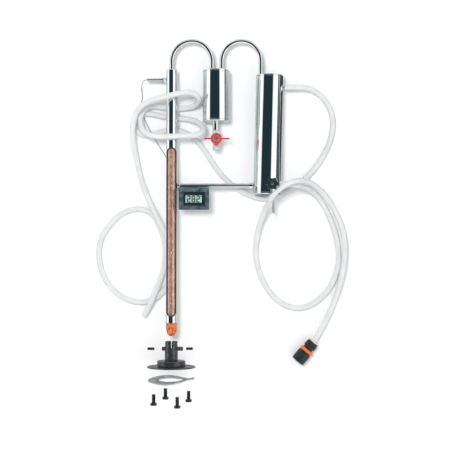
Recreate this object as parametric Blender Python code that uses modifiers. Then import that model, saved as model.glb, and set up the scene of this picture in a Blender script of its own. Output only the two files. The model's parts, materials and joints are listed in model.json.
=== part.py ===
"""Home still column head, lying on a bench with its mounting kit laid out in line below it.

A packed reflux column, a dry steam chamber and a water-jacketed condenser are joined by two
vapour bends and one cross bar. The head lies on its flange edge, the chamber rim and the
condenser rim, so the whole head leans by HEAD_TILT. Most pieces are placed in the head's own
frame: X to the right, Y up along the column, Z out of the bench, origin on the column axis at
the column's open end. Hoses, the sensor wire and the quick connector lie on the bench itself.
"""
import math

import bmesh
import bpy
from mathutils import Matrix, Vector

MM = 0.001
GAP = 0.3                      # clearance kept between touching pieces, mm

# Driving dimensions, mm
COLUMN_RADIUS = 12.0
COLUMN_WALL = 1.0
COLUMN_LENGTH = 532.0
WINDOW_BOTTOM, WINDOW_TOP = 12.5, 368.5
WINDOW_WIDTH = 21.2
TRIM_WIDTH = 2.5
PACKING_RADIUS = 10.4
PACKING_WALL = 0.6
PIPE_RADIUS = 5.0              # vapour bends and cross bar
BEND_TOP = 594.8               # centreline height of both vapour bends
BEND_FEET = (0.0, 85.0, 106.0, 188.5)  # where the two bends' four legs stand, along X
CHAMBER_X = 94.0
CHAMBER_RADIUS = 28.5
CHAMBER_BOTTOM, CHAMBER_TOP = 423.0, 533.0
CONDENSER_RADIUS = 28.7
CONDENSER_FOOT = (200.5, 269.2)
CONDENSER_LENGTH = 253.2
CONDENSER_LEAN = math.radians(1.54)
SHEET = 1.0                    # wall of the chamber and the condenser
CAP_DEPTH = 4.0
BAR_Y = 288.0
WELL_Y = 512.6
TAP_Y = 386.0
TAP_X = 94.2
VALVE_X, VALVE_Y, VALVE_Z = 209.8, 289.0, 34.1
SOCKET_BORE = 12.3
SOCKET_TOP, SOCKET_STEP, SOCKET_BOTTOM = -38.9, -56.3, -79.0
CLAMP_Y = -54.3
BOSS_RING_RADIUS = 29.8
FLANGE_RADIUS = 50.5
FLANGE_TOP, FLANGE_BOTTOM = -91.0, -93.7
BOLT_CIRCLE = 38.6             # radius of the four holes' circle
BOLT_ANGLES = (-21.7, 68.3, 158.3, 248.3)
GASKET_Y = -120.0
GASKET_OUTER, GASKET_INNER, GASKET_THICKNESS = 49.0, 27.5, 2.5
SCREW_TIP, SCREW_LENGTH, SCREW_HEAD = -146.0, 18.0, 5.0
SCREW_STAGGER = 0.12           # how much lower a flange screw waits for each mm that it is higher up
BOLT_HOLE_RADIUS = 4.5
CLAMP_HOLE_RADIUS = 3.3
HOSE_RADIUS = 6.0
WIRE_RADIUS = 0.85

# Where the head lies on the bench
HEAD_TILT = math.atan2(FLANGE_RADIUS - CHAMBER_RADIUS, CHAMBER_TOP - 3.0 - FLANGE_TOP)
COLUMN_FOOT = Vector((-96.8, -208.8, 0.0))
AXIS_HEIGHT = FLANGE_RADIUS * math.cos(HEAD_TILT) + FLANGE_TOP * math.sin(HEAD_TILT)
BENCH_CENTRE = (-0.15, -4.84, 0.0)     # puts the middle of the head and its kit at the origin

# Centreline routes on the bench, mm
SUPPLY_ROUTE = [
    (134.3, 81.2, 71), (145, 81.2, 71), (157, 80.5, 67), (172, 78, 54), (187, 74, 36), (204, 66, 19),
    (220, 51, 8), (234, 26, 6), (247, -4, 6), (256, -36, 6), (260, -66, 6), (259, -91, 6),
    (251, -120, 6), (236, -145, 6), (216, -166, 6), (192, -180, 6), (168, -183, 6),
    (144, -177, 6), (122, -161, 6), (103, -137, 6), (90, -108, 6), (82, -79, 6), (81, -51, 7),
    (85, -22, 12), (92, 7, 24), (101, 32, 44), (111, 52, 67), (123, 66, 79), (135, 76, 85),
    (150, 84, 84.5), (166, 88, 76), (184, 89, 61), (203, 81, 44), (223, 66, 27), (242, 42, 13),
    (259, 12, 8), (269, -18, 9), (272, -44, 15), (271, -67, 20), (269, -91, 19),
    (264, -119, 13), (257, -149, 8), (246.5, -177, 7), (234.5, -202, 9), (219.8, -228.5, 12.5),
    (204.4, -252.9, 14.8)]
DRAIN_ROUTE = [
    (150.1, 287.4, 29.6), (164, 287.5, 29), (186, 288, 24), (203, 284, 16), (220, 274, 9),
    (233, 260, 6), (243, 242, 6), (247, 221, 6), (247, 200, 6), (241, 174, 6), (230, 151, 6),
    (217, 128, 6), (201, 109, 6), (186, 93, 6), (169, 79, 6), (147, 67, 6), (125, 57, 6),
    (101, 51, 6), (78, 56, 6), (56, 65, 6), (37, 77, 6), (19, 92, 6), (1, 111, 6),
    (-14, 135, 6), (-29, 158, 6), (-45, 178, 6), (-64, 193, 6), (-85, 199, 6), (-108, 199, 6),
    (-130, 193, 6), (-149, 187, 6), (-167, 190, 6), (-179, 204, 6), (-177, 221, 6),
    (-166, 234, 6), (-147, 235, 6), (-124, 230, 6), (-102, 225, 6), (-76, 224, 8),
    (-52, 221, 14), (-36, 211, 26), (-28, 200, 40), (-31, 190, 51), (-45, 183, 58),
    (-64, 183, 58), (-80, 183, 55), (-97, 182, 53), (-120, 181, 52), (-141, 184, 49),
    (-156, 193, 42), (-163, 208, 34), (-164, 227, 24), (-157, 243, 14), (-141, 252, 7),
    (-121, 248, 6), (-100, 245, 6), (-76, 245, 7), (-55, 247, 15), (-42, 253, 28),
    (-38, 260, 42), (-42, 268, 54), (-54, 273, 60), (-72, 274, 60), (-95, 268, 56),
    (-120, 263, 54), (-142, 257, 51), (-161, 246, 48), (-174, 229, 41), (-180, 205, 33),
    (-180, 177, 22), (-175, 147, 11), (-168, 111, 6), (-157, 73, 9), (-141, 37, 17),
    (-128, 12, 20), (-115, -12, 20), (-102, -42, 18), (-95, -74, 11), (-98, -106, 6),
    (-107, -134, 6), (-122, -154, 6), (-144, -167, 6), (-166, -170, 6), (-188, -166, 6),
    (-209, -156, 6), (-229, -138, 6), (-244, -115, 6), (-253, -85, 6), (-255, -57, 6),
    (-249, -30, 6), (-236, -9, 6), (-218, 12, 6), (-196, 26, 6), (-175, 32, 6), (-154, 29, 6),
    (-137, 18, 6), (-125, -3, 6), (-116, -27, 6), (-111, -55, 6), (-112, -83, 6),
    (-118, -108, 8), (-126, -131, 16), (-135, -152, 21), (-143, -171, 19), (-151, -187, 11),
    (-157, -198, 6)]
WIRE_ROUTE = [
    (-149.8, 303.5, 29), (-154, 303.3, 28.4), (-159, 300.4, 25), (-162.5, 291.6, 17),
    (-162.5, 281, 9), (-160.5, 272, 5), (-162, 262, 3), (-167.5, 250, 4), (-168, 241, 10),
    (-163, 234, 14.2), (-157, 224, 14.2), (-149, 208, 13.6), (-143.5, 196, 13.8),
    (-137, 185, 14), (-130, 173, 9), (-122.5, 161, 3), (-114, 148, 1), (-106, 134, 1.5),
    (-98.5, 118, 3), (-92, 101, 7), (-86.5, 86, 13), (-83.8, 75, 20), (-83.4, 69.6, 30),
    (-83.4, 69.6, 40), (-83, 70.1, 47), (-81.9, 70.2, 49.4)]
CONNECTOR_START = Vector((204.2, -253.2, 14.8))
CONNECTOR_DIRECTION = Vector((-0.643, -0.766, 0.0)).normalized()

STEEL, STEEL_DARK = (0.80, 0.82, 0.83), (0.55, 0.58, 0.60)
GUNMETAL, BLACK = (0.075, 0.075, 0.08), (0.02, 0.025, 0.03)


# ---------------------------------------------------------------- scene and materials
def clear_scene():
    for obj in list(bpy.data.objects):
        bpy.data.objects.remove(obj, do_unlink=True)


def new_collection(name):
    collection = bpy.data.collections.new(name)
    bpy.context.scene.collection.children.link(collection)
    return collection


clear_scene()
PARTS = new_collection("still_head")
CUTTERS = new_collection("still_head_cutters")


def material_for(name, colour, roughness, metallic, alpha=1.0):
    material = bpy.data.materials.new(name)
    material.use_nodes = True
    shader = material.node_tree.nodes["Principled BSDF"]
    shader.inputs["Base Color"].default_value = (*colour, 1.0)
    shader.inputs["Roughness"].default_value = roughness
    shader.inputs["Metallic"].default_value = metallic
    shader.inputs["Alpha"].default_value = alpha
    return material


def frame_empty(name, parent, location, rotation=(0, 0, 0)):
    empty = bpy.data.objects.new(name, None)
    PARTS.objects.link(empty)
    empty.parent = parent
    empty.location = Vector(location) * MM
    empty.rotation_euler = rotation
    return empty


BENCH = frame_empty("bench_frame", None, BENCH_CENTRE)
HEAD = frame_empty("head_frame", BENCH, COLUMN_FOOT + Vector((0, 0, AXIS_HEIGHT)),
                   (-HEAD_TILT, 0, 0))
CONDENSER = frame_empty("condenser_frame", HEAD, (*CONDENSER_FOOT, 0),
                        (0, 0, -CONDENSER_LEAN))


# ---------------------------------------------------------------- building blocks
def add_object(name, mesh, at=(0, 0, 0), along=(0, 0, 1), parent=HEAD, look=None):
    """Link a mesh as a piece: its own Z axis is turned to point along the given direction."""
    obj = bpy.data.objects.new(name, mesh)
    (PARTS if look else CUTTERS).objects.link(obj)
    obj.parent = parent
    obj.location = Vector(at) * MM
    obj.rotation_mode = "QUATERNION"
    obj.rotation_quaternion = Vector((0, 0, 1)).rotation_difference(Vector(along))
    if look:
        mesh.materials.append(material_for(name, *look))
    else:
        obj.hide_render = True
        obj.display_type = "WIRE"
    return obj


def smooth(mesh):
    mesh.shade_smooth()
    mesh.set_sharp_from_angle(angle=math.radians(35))


def turned(name, outline, closed=False, steps=16, **place):
    """Revolve an outline of (radius, height) points about Z with a Screw modifier."""
    mesh = bpy.data.meshes.new(name)
    points = [(radius * MM, 0, height * MM) for radius, height in outline]
    edges = [(i, i + 1) for i in range(len(points) - 1)]
    if closed:
        edges.append((len(points) - 1, 0))
    mesh.from_pydata(points, edges, [])
    obj = add_object(name, mesh, **place)
    screw = obj.modifiers.new("turn", "SCREW")
    screw.axis = "Z"
    screw.angle = math.tau
    screw.steps = screw.render_steps = steps
    screw.use_merge_vertices = True
    screw.merge_threshold = 1e-5
    screw.use_smooth_shade = True
    return obj


def ring(name, outer, inner, low, high, **place):
    outline = [(outer, high), (outer, low), (inner, low), (inner, high)]
    return turned(name, outline, closed=True, **place)


def rod(name, radius, low, high, chamfer=0.0, **place):
    if chamfer:
        outline = [(0, high), (radius - chamfer, high), (radius, high - chamfer),
                   (radius, low + chamfer), (radius - chamfer, low), (0, low)]
    else:
        outline = [(0, high), (radius, high), (radius, low), (0, low)]
    return turned(name, outline, **place)


def box(name, size, at, bevel=0.0, **place):
    mesh = bpy.data.meshes.new(name)
    bm = bmesh.new()
    bmesh.ops.create_cube(bm, size=1.0, matrix=Matrix.Diagonal((*(s * MM for s in size), 1)))
    bm.to_mesh(mesh)
    bm.free()
    obj = add_object(name, mesh, at=at, **place)
    if bevel:
        edge = obj.modifiers.new("edge", "BEVEL")
        edge.width = bevel * MM
        edge.segments = 2
        edge.limit_method = "ANGLE"
    return obj


def cut(obj, *cutters, how="DIFFERENCE"):
    for cutter in cutters:
        boolean = obj.modifiers.new("cut", "BOOLEAN")
        boolean.operation = how
        boolean.object = cutter
        boolean.solver = "EXACT"


def mesh_from_curve(obj):
    """Turn a curve object into a mesh object in the same place, with its caps welded."""
    name, parent = obj.name, obj.parent
    bpy.context.view_layer.update()
    world = obj.matrix_world.copy()
    evaluated = obj.evaluated_get(bpy.context.evaluated_depsgraph_get())
    mesh = bpy.data.meshes.new_from_object(evaluated)
    bm = bmesh.new()
    bm.from_mesh(mesh)
    bmesh.ops.remove_doubles(bm, verts=bm.verts, dist=1e-6)
    bm.to_mesh(mesh)
    bm.free()
    collection = obj.users_collection[0]
    hidden = obj.hide_render
    bpy.data.objects.remove(obj, do_unlink=True)
    solid = bpy.data.objects.new(name, mesh)
    solid.name = name
    collection.objects.link(solid)
    solid.parent = parent
    solid.matrix_world = world
    if hidden:
        solid.hide_render = True
        solid.display_type = "WIRE"
    smooth(mesh)
    return solid


def swept(name, points, radius, parent=HEAD, look=None, sides=2):
    """A round bar or cord along a list of points, as a POLY curve with filled caps."""
    curve = bpy.data.curves.new(name, "CURVE")
    curve.dimensions = "3D"
    curve.bevel_depth = radius * MM
    curve.bevel_resolution = sides
    curve.use_fill_caps = True
    spline = curve.splines.new("POLY")
    spline.points.add(len(points) - 1)
    for point, place in zip(spline.points, points):
        point.co = (*(c * MM for c in place), 1.0)
    spline.use_smooth = True
    obj = bpy.data.objects.new(name, curve)
    (PARTS if look else CUTTERS).objects.link(obj)
    obj.parent = parent
    if look:
        curve.materials.append(material_for(name, *look))
    else:
        obj.hide_render = True
        obj.display_type = "WIRE"
    return obj


def outline_plate(name, outlines, thickness, look=None, **place):
    """A flat plate from closed outlines; an outline inside another one is a hole."""
    curve = bpy.data.curves.new(name, "CURVE")
    curve.dimensions = "2D"
    curve.fill_mode = "BOTH"
    curve.extrude = thickness / 2 * MM
    for outline in outlines:
        spline = curve.splines.new("POLY")
        spline.points.add(len(outline) - 1)
        for point, (x, y) in zip(spline.points, outline):
            point.co = (x * MM, y * MM, 0.0, 1.0)
        spline.use_cyclic_u = True
    obj = add_object(name, curve, look=look, **place)
    return mesh_from_curve(obj)


def circle(radius, count, centre=(0, 0)):
    return [(centre[0] + radius * math.cos(math.tau * i / count),
             centre[1] + radius * math.sin(math.tau * i / count)) for i in range(count)]


def slot_outline(width, low, high, count=8):
    """A slot with round ends, upright along Y."""
    radius = width / 2
    top = []
    for i in range(count + 1):
        angle = math.pi * i / count
        top.append((radius * math.cos(angle), high - radius + radius * math.sin(angle)))
    bottom = [(-x, low + high - y) for x, y in top]
    return top + bottom


def smooth_path(route, spacing):
    """Even points along the cubic B-spline that a route's points guide, ends included."""
    points = [Vector(p) for p in route]
    points = [2 * points[0] - points[1], *points, 2 * points[-1] - points[-2]]
    fine = []
    for a, b, c, d in zip(points, points[1:], points[2:], points[3:]):
        for i in range(12):
            t = i / 12
            fine.append(((1 - t) ** 3 * a + (3 * t ** 3 - 6 * t * t + 4) * b
                         + (-3 * t ** 3 + 3 * t * t + 3 * t + 1) * c + t ** 3 * d) / 6)
    fine.append((points[-3] + 4 * points[-2] + points[-1]) / 6)
    lengths = [0.0]
    for a, b in zip(fine, fine[1:]):
        lengths.append(lengths[-1] + (b - a).length)
    count = round(lengths[-1] / spacing)
    even, at = [], 0
    for i in range(count + 1):
        target = lengths[-1] * i / count
        while at < len(fine) - 2 and lengths[at + 1] < target:
            at += 1
        share = (target - lengths[at]) / (lengths[at + 1] - lengths[at])
        even.append(fine[at].lerp(fine[at + 1], share))
    return even


UP_COLUMN = (0, 1, 0)


# ---------------------------------------------------------------- column
def make_column():
    length, radius, bore = COLUMN_LENGTH, COLUMN_RADIUS, COLUMN_RADIUS - COLUMN_WALL
    tube = ring("column_tube", radius, bore, 0, length, steps=24, along=UP_COLUMN,
                look=(STEEL, 0.12, 1.0))
    grow = GAP / 2
    opening = slot_outline(WINDOW_WIDTH + 2 * grow, WINDOW_BOTTOM - grow, WINDOW_TOP + grow)
    window = outline_plate("window_cutter", [opening], 24, at=(0, 0, 14))
    well_hole = rod("well_cutter", 3.6, 0, 20, along=(-1, 0, 0), at=(0, WELL_Y, 0))
    cut(tube, window, well_hole)

    trim = ring("window_trim", radius, bore, WINDOW_BOTTOM - 3, WINDOW_TOP + 3, steps=24,
                along=UP_COLUMN, look=(BLACK, 0.5, 0.0))
    border = outline_plate("trim_cutter", [
        slot_outline(WINDOW_WIDTH, WINDOW_BOTTOM, WINDOW_TOP),
        slot_outline(WINDOW_WIDTH - 2 * TRIM_WIDTH, WINDOW_BOTTOM + TRIM_WIDTH,
                     WINDOW_TOP - TRIM_WIDTH)], 20, at=(0, 0, 12))
    cut(trim, border, how="INTERSECT")

    ring("column_top_cap", radius, PIPE_RADIUS + GAP, length + GAP, length + 2.2,
         along=UP_COLUMN, look=(STEEL, 0.15, 1.0))
    ring("column_packing", PACKING_RADIUS, PACKING_RADIUS - PACKING_WALL, 12, 494,
         along=UP_COLUMN, look=((0.60, 0.30, 0.19), 0.45, 1.0))
    plug = [(10.2, 11.5), (10.2, -GAP), (11.6, -GAP - 1.2), (11.2, -8), (10.2, -16),
            (8.0, -23), (4.0, -27.6), (0, -28.4), (0, -26.8), (3.4, -26.0), (6.6, -22.2),
            (8.8, -15.4), (9.6, -8), (9.0, 0), (9.0, 11.5)]
    turned("packing_plug", plug, closed=True, along=UP_COLUMN,
           look=((0.90, 0.22, 0.05), 0.5, 0.3))


def make_sensor_well():
    outline = [(3.3, 52.4), (3.3, 27), (3.9, 26), (3.9, 18), (3.2, 17.4), (3.2, 3.0), (0, 3.0),
               (0, 4.2), (1.4, 4.2), (1.4, 52.4)]
    turned("sensor_well", outline, closed=True, steps=16, at=(0, WELL_Y, 0), along=(-1, 0, 0),
           look=(STEEL_DARK, 0.3, 1.0))
    ring("sensor_collar", 5.4, 3.6 + GAP, 12.4, 16.6, steps=16, at=(0, WELL_Y, 0),
         along=(-1, 0, 0), look=(STEEL, 0.35, 1.0))


# ---------------------------------------------------------------- vapour bends
def make_bend(name, left, right, left_foot, right_foot):
    radius = (right - left) / 2
    spring = BEND_TOP - radius
    centre = (left + right) / 2
    steps = 12
    arc = [(centre - radius * math.cos(math.pi * i / steps),
            spring + radius * math.sin(math.pi * i / steps), 0) for i in range(steps + 1)]
    path = [(left, left_foot, 0), *arc, (right, right_foot, 0)]
    pipe = mesh_from_curve(swept(name, path, PIPE_RADIUS, look=(STEEL, 0.12, 1.0), sides=3))
    path[0], path[-1] = (left, left_foot - 5, 0), (right, right_foot - 5, 0)
    bore = mesh_from_curve(swept(name + "_cutter", path, PIPE_RADIUS - 1.0, sides=1))
    cut(pipe, bore)


def make_bends():
    column, chamber_in, chamber_out, condenser = BEND_FEET
    make_bend("vapour_bend_1", column, chamber_in, COLUMN_LENGTH - 3, CHAMBER_TOP - 8)
    make_bend("vapour_bend_2", chamber_out, condenser, CHAMBER_TOP - 8, 514)


# ---------------------------------------------------------------- chamber and condenser
def can_cap(name, radius, face, inner, edge=3.0, **place):
    """A shallow pressed end cap, open towards the can; face is its outer height."""
    side = 1 if face > inner else -1
    t = SHEET * side
    outline = [(0, face), (radius - edge, face), (radius - 0.8, face - 0.9 * side),
               (radius, face - edge * side), (radius, inner), (radius - SHEET, inner),
               (radius - edge, face - t), (0, face - t)]
    if side < 0:
        outline.reverse()
    return turned(name, outline, steps=24, **place)


def make_chamber():
    place = {"at": (CHAMBER_X, 0, 0), "along": UP_COLUMN}
    low, high = CHAMBER_BOTTOM + CAP_DEPTH, CHAMBER_TOP - CAP_DEPTH
    ring("chamber_shell", CHAMBER_RADIUS, CHAMBER_RADIUS - SHEET, low + GAP / 2, high - GAP / 2,
         steps=24, look=(STEEL, 0.08, 1.0), **place)
    top = can_cap("chamber_top_cap", CHAMBER_RADIUS, CHAMBER_TOP, high + GAP / 2,
                  look=(STEEL, 0.1, 1.0), **place)
    holes = [rod("bend_cutter_%d" % i, PIPE_RADIUS + GAP, high - 4, CHAMBER_TOP + 4,
                 at=(x, 0, 0), along=UP_COLUMN) for i, x in enumerate(BEND_FEET[1:3])]
    cut(top, *holes)
    bottom = can_cap("chamber_bottom_cap", CHAMBER_RADIUS, CHAMBER_BOTTOM, low - GAP / 2,
                     look=(STEEL, 0.1, 1.0), **place)
    neck_x = 92.8
    cut(bottom, rod("neck_cutter", 4.5 + GAP, CHAMBER_BOTTOM - 4, low + 4, at=(neck_x, 0, 0),
                    along=UP_COLUMN))
    neck = [(4.5, 432), (4.5, CHAMBER_BOTTOM - GAP), (6.5, CHAMBER_BOTTOM - 1), (6.5, 405),
            (3.4, 405), (3.4, 432)]
    turned("chamber_drain_neck", neck, closed=True, steps=16, at=(neck_x, 0, 0),
           along=UP_COLUMN, look=(STEEL, 0.15, 1.0))


def make_condenser():
    place = {"parent": CONDENSER, "along": UP_COLUMN}
    low, high = CAP_DEPTH, CONDENSER_LENGTH - CAP_DEPTH
    shell = ring("condenser_shell", CONDENSER_RADIUS, CONDENSER_RADIUS - SHEET, low + GAP / 2,
                 high - GAP / 2, steps=24, look=(STEEL, 0.08, 1.0), **place)
    top = can_cap("condenser_top_cap", CONDENSER_RADIUS, CONDENSER_LENGTH, high + GAP / 2,
                  look=(STEEL, 0.1, 1.0), **place)
    cut(top, rod("bend_cutter_3", PIPE_RADIUS + GAP, 500, 540, at=(BEND_FEET[3], 0, 0),
                 along=UP_COLUMN))
    bottom = can_cap("condenser_bottom_cap", CONDENSER_RADIUS, 0, low - GAP / 2,
                     look=(STEEL, 0.1, 1.0), **place)
    spout_x, spout_radius = 214.4, 2.75
    cut(bottom, rod("spout_cutter", spout_radius + GAP, 250, 290, at=(spout_x, 0, 0),
                    along=UP_COLUMN))
    ring("product_spout", spout_radius, spout_radius - 0.9, 229.7, 277, steps=16,
         at=(spout_x, 0, 0), along=UP_COLUMN, look=(STEEL, 0.15, 1.0))

    nozzle_y = 496.5
    hole = rod("nozzle_cutter", 4.0 + GAP, 10, 50, at=(206.5, nozzle_y, 0), along=(1, 0, 0))
    nipple_hole = rod("nipple_cutter", 3.2 + GAP, 10, 40, at=(203.0, VALVE_Y, 0),
                      along=(0, 0, 1))
    cut(shell, hole, nipple_hole)
    nozzle = [(4.0, 39.8), (4.0, 22), (2.8, 22), (2.8, 39.8)]
    turned("condenser_outlet_nozzle", nozzle, closed=True, steps=16, at=(206.5, nozzle_y, 0),
           along=(1, 0, 0), look=(STEEL, 0.2, 1.0))

    turns, per_turn, coil_radius, pitch = 6, 9, 17.0, 32.0
    coil = [(coil_radius * math.cos(math.tau * i / per_turn), 24 + pitch * i / per_turn,
             coil_radius * math.sin(math.tau * i / per_turn)) for i in range(turns * per_turn + 1)]
    swept("condenser_coil", coil, 2.5, parent=CONDENSER, look=(STEEL, 0.3, 1.0), sides=1)


# ---------------------------------------------------------------- cross bar and thermometer
def make_cross_bar():
    left, right = COLUMN_RADIUS + 3.2, 169.0
    place = {"at": (0, BAR_Y, 0), "along": (1, 0, 0)}
    rod("cross_bar", PIPE_RADIUS, left, right, steps=16, look=(STEEL_DARK, 0.2, 1.0), **place)
    for name, low, high, socket_low, socket_high in (
            ("bar_fitting_left", 12.4, 18.5, left - GAP, 25.0),
            ("bar_fitting_right", 163.0, 172.0, 158.0, right + GAP)):
        fitting = rod(name, PIPE_RADIUS + 1.6, low, high, chamfer=1.0, steps=20,
                      look=(STEEL, 0.3, 1.0), **place)
        cut(fitting, rod(name + "_cutter", PIPE_RADIUS + GAP, socket_low, socket_high, **place))


CASE_LEFT, CASE_RIGHT, CASE_LOW, CASE_HIGH = 15.8, 79.2, 236.8, 282.8
CASE_BACK, CASE_FRONT = 7.5, 20.5
GLASS_LOW, GLASS_HIGH, GLASS_LEFT, GLASS_RIGHT = 250.8, 267.0, 29.6, 64.5


def make_thermometer():
    width, height = CASE_RIGHT - CASE_LEFT, CASE_HIGH - CASE_LOW
    x, y = (CASE_LEFT + CASE_RIGHT) / 2, (CASE_LOW + CASE_HIGH) / 2
    depth, middle = CASE_FRONT - CASE_BACK, (CASE_FRONT + CASE_BACK) / 2
    glass_width, glass_height = GLASS_RIGHT - GLASS_LEFT, GLASS_HIGH - GLASS_LOW
    glass = ((GLASS_LEFT + GLASS_RIGHT) / 2, (GLASS_LOW + GLASS_HIGH) / 2)
    plastic = ((0.06, 0.10, 0.13), 0.45, 0.0)

    case = box("thermometer_case", (width, height, depth), (x, y, middle), bevel=1.5,
               look=plastic)
    hollow = box("case_cutter", (width - 4, height - 4, depth), (x, y, middle - 1.8))
    window = box("display_cutter", (glass_width, glass_height, 20), (*glass, CASE_FRONT))
    wire_hole = rod("wire_cutter", WIRE_RADIUS + GAP, -4, 4, at=(CASE_LEFT, 278.7, 12.0),
                    along=(1, 0, 0), steps=12)
    cut(case, hollow, window, wire_hole)
    box("thermometer_back", (width - 4 - 2 * GAP, height - 4 - 2 * GAP, 1.6),
        (x, y, CASE_BACK + 0.9), look=plastic)

    bezel = box("thermometer_bezel", (45.0, 29.0, 1.2), (48.3, 259.5, CASE_FRONT + GAP + 0.6),
                bevel=0.4, look=((0.02, 0.05, 0.055), 0.3, 0.0))
    cut(bezel, box("bezel_cutter", (glass_width, glass_height, 10), (*glass, CASE_FRONT)))
    box("thermometer_lens", (glass_width - 2 * GAP, glass_height - 2 * GAP, 1.2),
        (*glass, CASE_FRONT + GAP + 0.6), look=((0.9, 0.95, 0.95), 0.05, 0.0, 0.3))
    box("thermometer_display", (glass_width - 1.0, glass_height - 1.0, 1.4),
        (*glass, CASE_FRONT - 0.9), look=((0.35, 0.62, 0.52), 0.35, 0.0))
    box("thermometer_board", (50.0, 40.0, 1.4), (x, y, CASE_BACK + 6.2),
        look=((0.02, 0.20, 0.08), 0.5, 0.0))
    for number, side in enumerate((-12, 12), start=1):
        rod("thermometer_cell_%d" % number, 5.8, 2.2, 5.2, steps=20,
            at=(x + side, y, CASE_BACK), look=(STEEL, 0.3, 1.0))
    clip_low, clip_high, clip_depth = BAR_Y - 11.5, BAR_Y + 4.6, 14.4
    clip = box("thermometer_clip", (14.0, clip_high - clip_low, clip_depth),
               (x, (clip_low + clip_high) / 2, 0), look=((0.05, 0.06, 0.07), 0.5, 0.0))
    lip, mouth = 2.4, 20.0
    cut(clip, rod("clip_cutter", PIPE_RADIUS + GAP, -30, 30, at=(x, BAR_Y, 0), along=(1, 0, 0)),
        box("clip_mouth_cutter", (mouth, mouth, mouth),
            (x, CASE_HIGH + mouth / 2, lip + mouth / 2)))


# ---------------------------------------------------------------- drain tap
def make_tap():
    plastic = ((0.86, 0.90, 0.88), 0.3, 0.0, 0.85)
    body = turned("tap_body", [
        (0, 404.7), (7.2, 404.7), (8.6, 403), (8.6, 396), (7.4, 395), (7.4, 374), (8.2, 372),
        (8.2, 364), (7.4, 363), (0, 363)], steps=16, at=(TAP_X, 0, 0), along=UP_COLUMN,
        look=plastic)
    barrel = rod("tap_barrel", 10.4, -9.0, 12.5, chamfer=0.8, steps=16, at=(TAP_X, TAP_Y, 0))
    cut(body, barrel, how="UNION")
    cut(body, rod("tap_bore_cutter", 3.6, 350, 420, steps=16, at=(TAP_X, 0, 0), along=UP_COLUMN),
        rod("tap_seat_cutter", 6.6 + GAP, -7.0, 20, steps=16, at=(TAP_X, TAP_Y, 0)))
    plug = rod("tap_plug", 6.6, -6.6, 14.0, steps=16, at=(TAP_X, TAP_Y, 0),
               look=((0.85, 0.10, 0.09), 0.35, 0.0))
    cut(plug, rod("plug_port_cutter", 3.6, 350, 420, steps=16, at=(TAP_X, 0, 0),
                  along=UP_COLUMN),
        rod("plug_thread_cutter", 1.5 + GAP, 8, 20, steps=12, at=(TAP_X, TAP_Y, 0)))
    red = ((0.85, 0.07, 0.06), 0.32, 0.0)
    handle = turned("tap_handle", [
        (1.5 + GAP, 21.5), (6.0, 22.4), (10.6, 21.8), (12.0, 20.2), (12.0, 15.6), (11.2, 14.3),
        (1.5 + GAP, 14.3)], closed=True, at=(TAP_X, TAP_Y, 0), look=red)
    bar = box("handle_bar", (54.0, 3.5, 4.0), (95.5, TAP_Y, 18.0), bevel=0.8)
    pointer = rod("handle_pointer", 3.6, 14.8, 20.6, steps=16, at=(TAP_X - 0.6, TAP_Y - 11.5, 0))
    cut(handle, bar, pointer, how="UNION")
    cut(handle, rod("screw_seat_cutter", 3.0 + GAP, 18.6, 30, steps=16, at=(TAP_X, TAP_Y, 0)),
        rod("screw_shank_cutter", 1.5 + GAP, 10, 30, steps=12, at=(TAP_X, TAP_Y, 0)))
    screw = [(0, 21.6), (2.2, 21.4), (3.0, 20.6), (3.0, 19.0), (1.5, 19.0), (1.5, 9.0), (0, 9.0)]
    turned("tap_screw", screw, steps=12, at=(TAP_X, TAP_Y, 0), look=(STEEL, 0.3, 1.0))


# ---------------------------------------------------------------- cooling water valve
def make_valve():
    metal = ((0.30, 0.33, 0.34), 0.35, 1.0)
    ring("valve_nipple", 3.2, 2.0, 25.5, VALVE_Z - 5.6, steps=16, at=(203.0, VALVE_Y, 0),
         look=(STEEL, 0.25, 1.0))
    body = turned("valve_body", [
        (0, 29.4), (4.0, 29.4), (4.0, 27.2), (5.3, 26.4), (5.3, 2.0), (4.3, 1.0), (0, 1.0)],
        steps=16, at=(200.1, VALVE_Y, VALVE_Z), along=(1, 0, 0), look=metal)
    tower = rod("valve_tower", 6.2, -2.0, 9.5, steps=18, at=(VALVE_X, VALVE_Y, VALVE_Z))
    cut(body, tower, how="UNION")
    cut(body, rod("spindle_cutter", 2.6 + GAP, -1.0, 20, steps=16,
                  at=(VALVE_X, VALVE_Y, VALVE_Z)),
        rod("outlet_cutter", 2.4, 7.3, 40, steps=10, at=(200.1, VALVE_Y, VALVE_Z),
            along=(1, 0, 0)))
    rod("valve_spindle", 2.6, -0.6, 18.0, steps=16, at=(VALVE_X, VALVE_Y, VALVE_Z), look=metal)
    lobes, points = 6, 48
    star = []
    for i in range(points):
        angle = math.tau * i / points
        reach = 11.8 + 1.4 * math.cos(lobes * angle)
        star.append((reach * math.cos(angle), reach * math.sin(angle)))
    knob = outline_plate("valve_knob", [star], 10.0, at=(VALVE_X, VALVE_Y, VALVE_Z + 15.3),
                         look=((0.03, 0.045, 0.05), 0.4, 0.0))
    cut(knob, rod("knob_bore_cutter", 2.6 + GAP, 0, 18.0 + GAP, steps=16,
                  at=(VALVE_X, VALVE_Y, VALVE_Z)))


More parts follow.
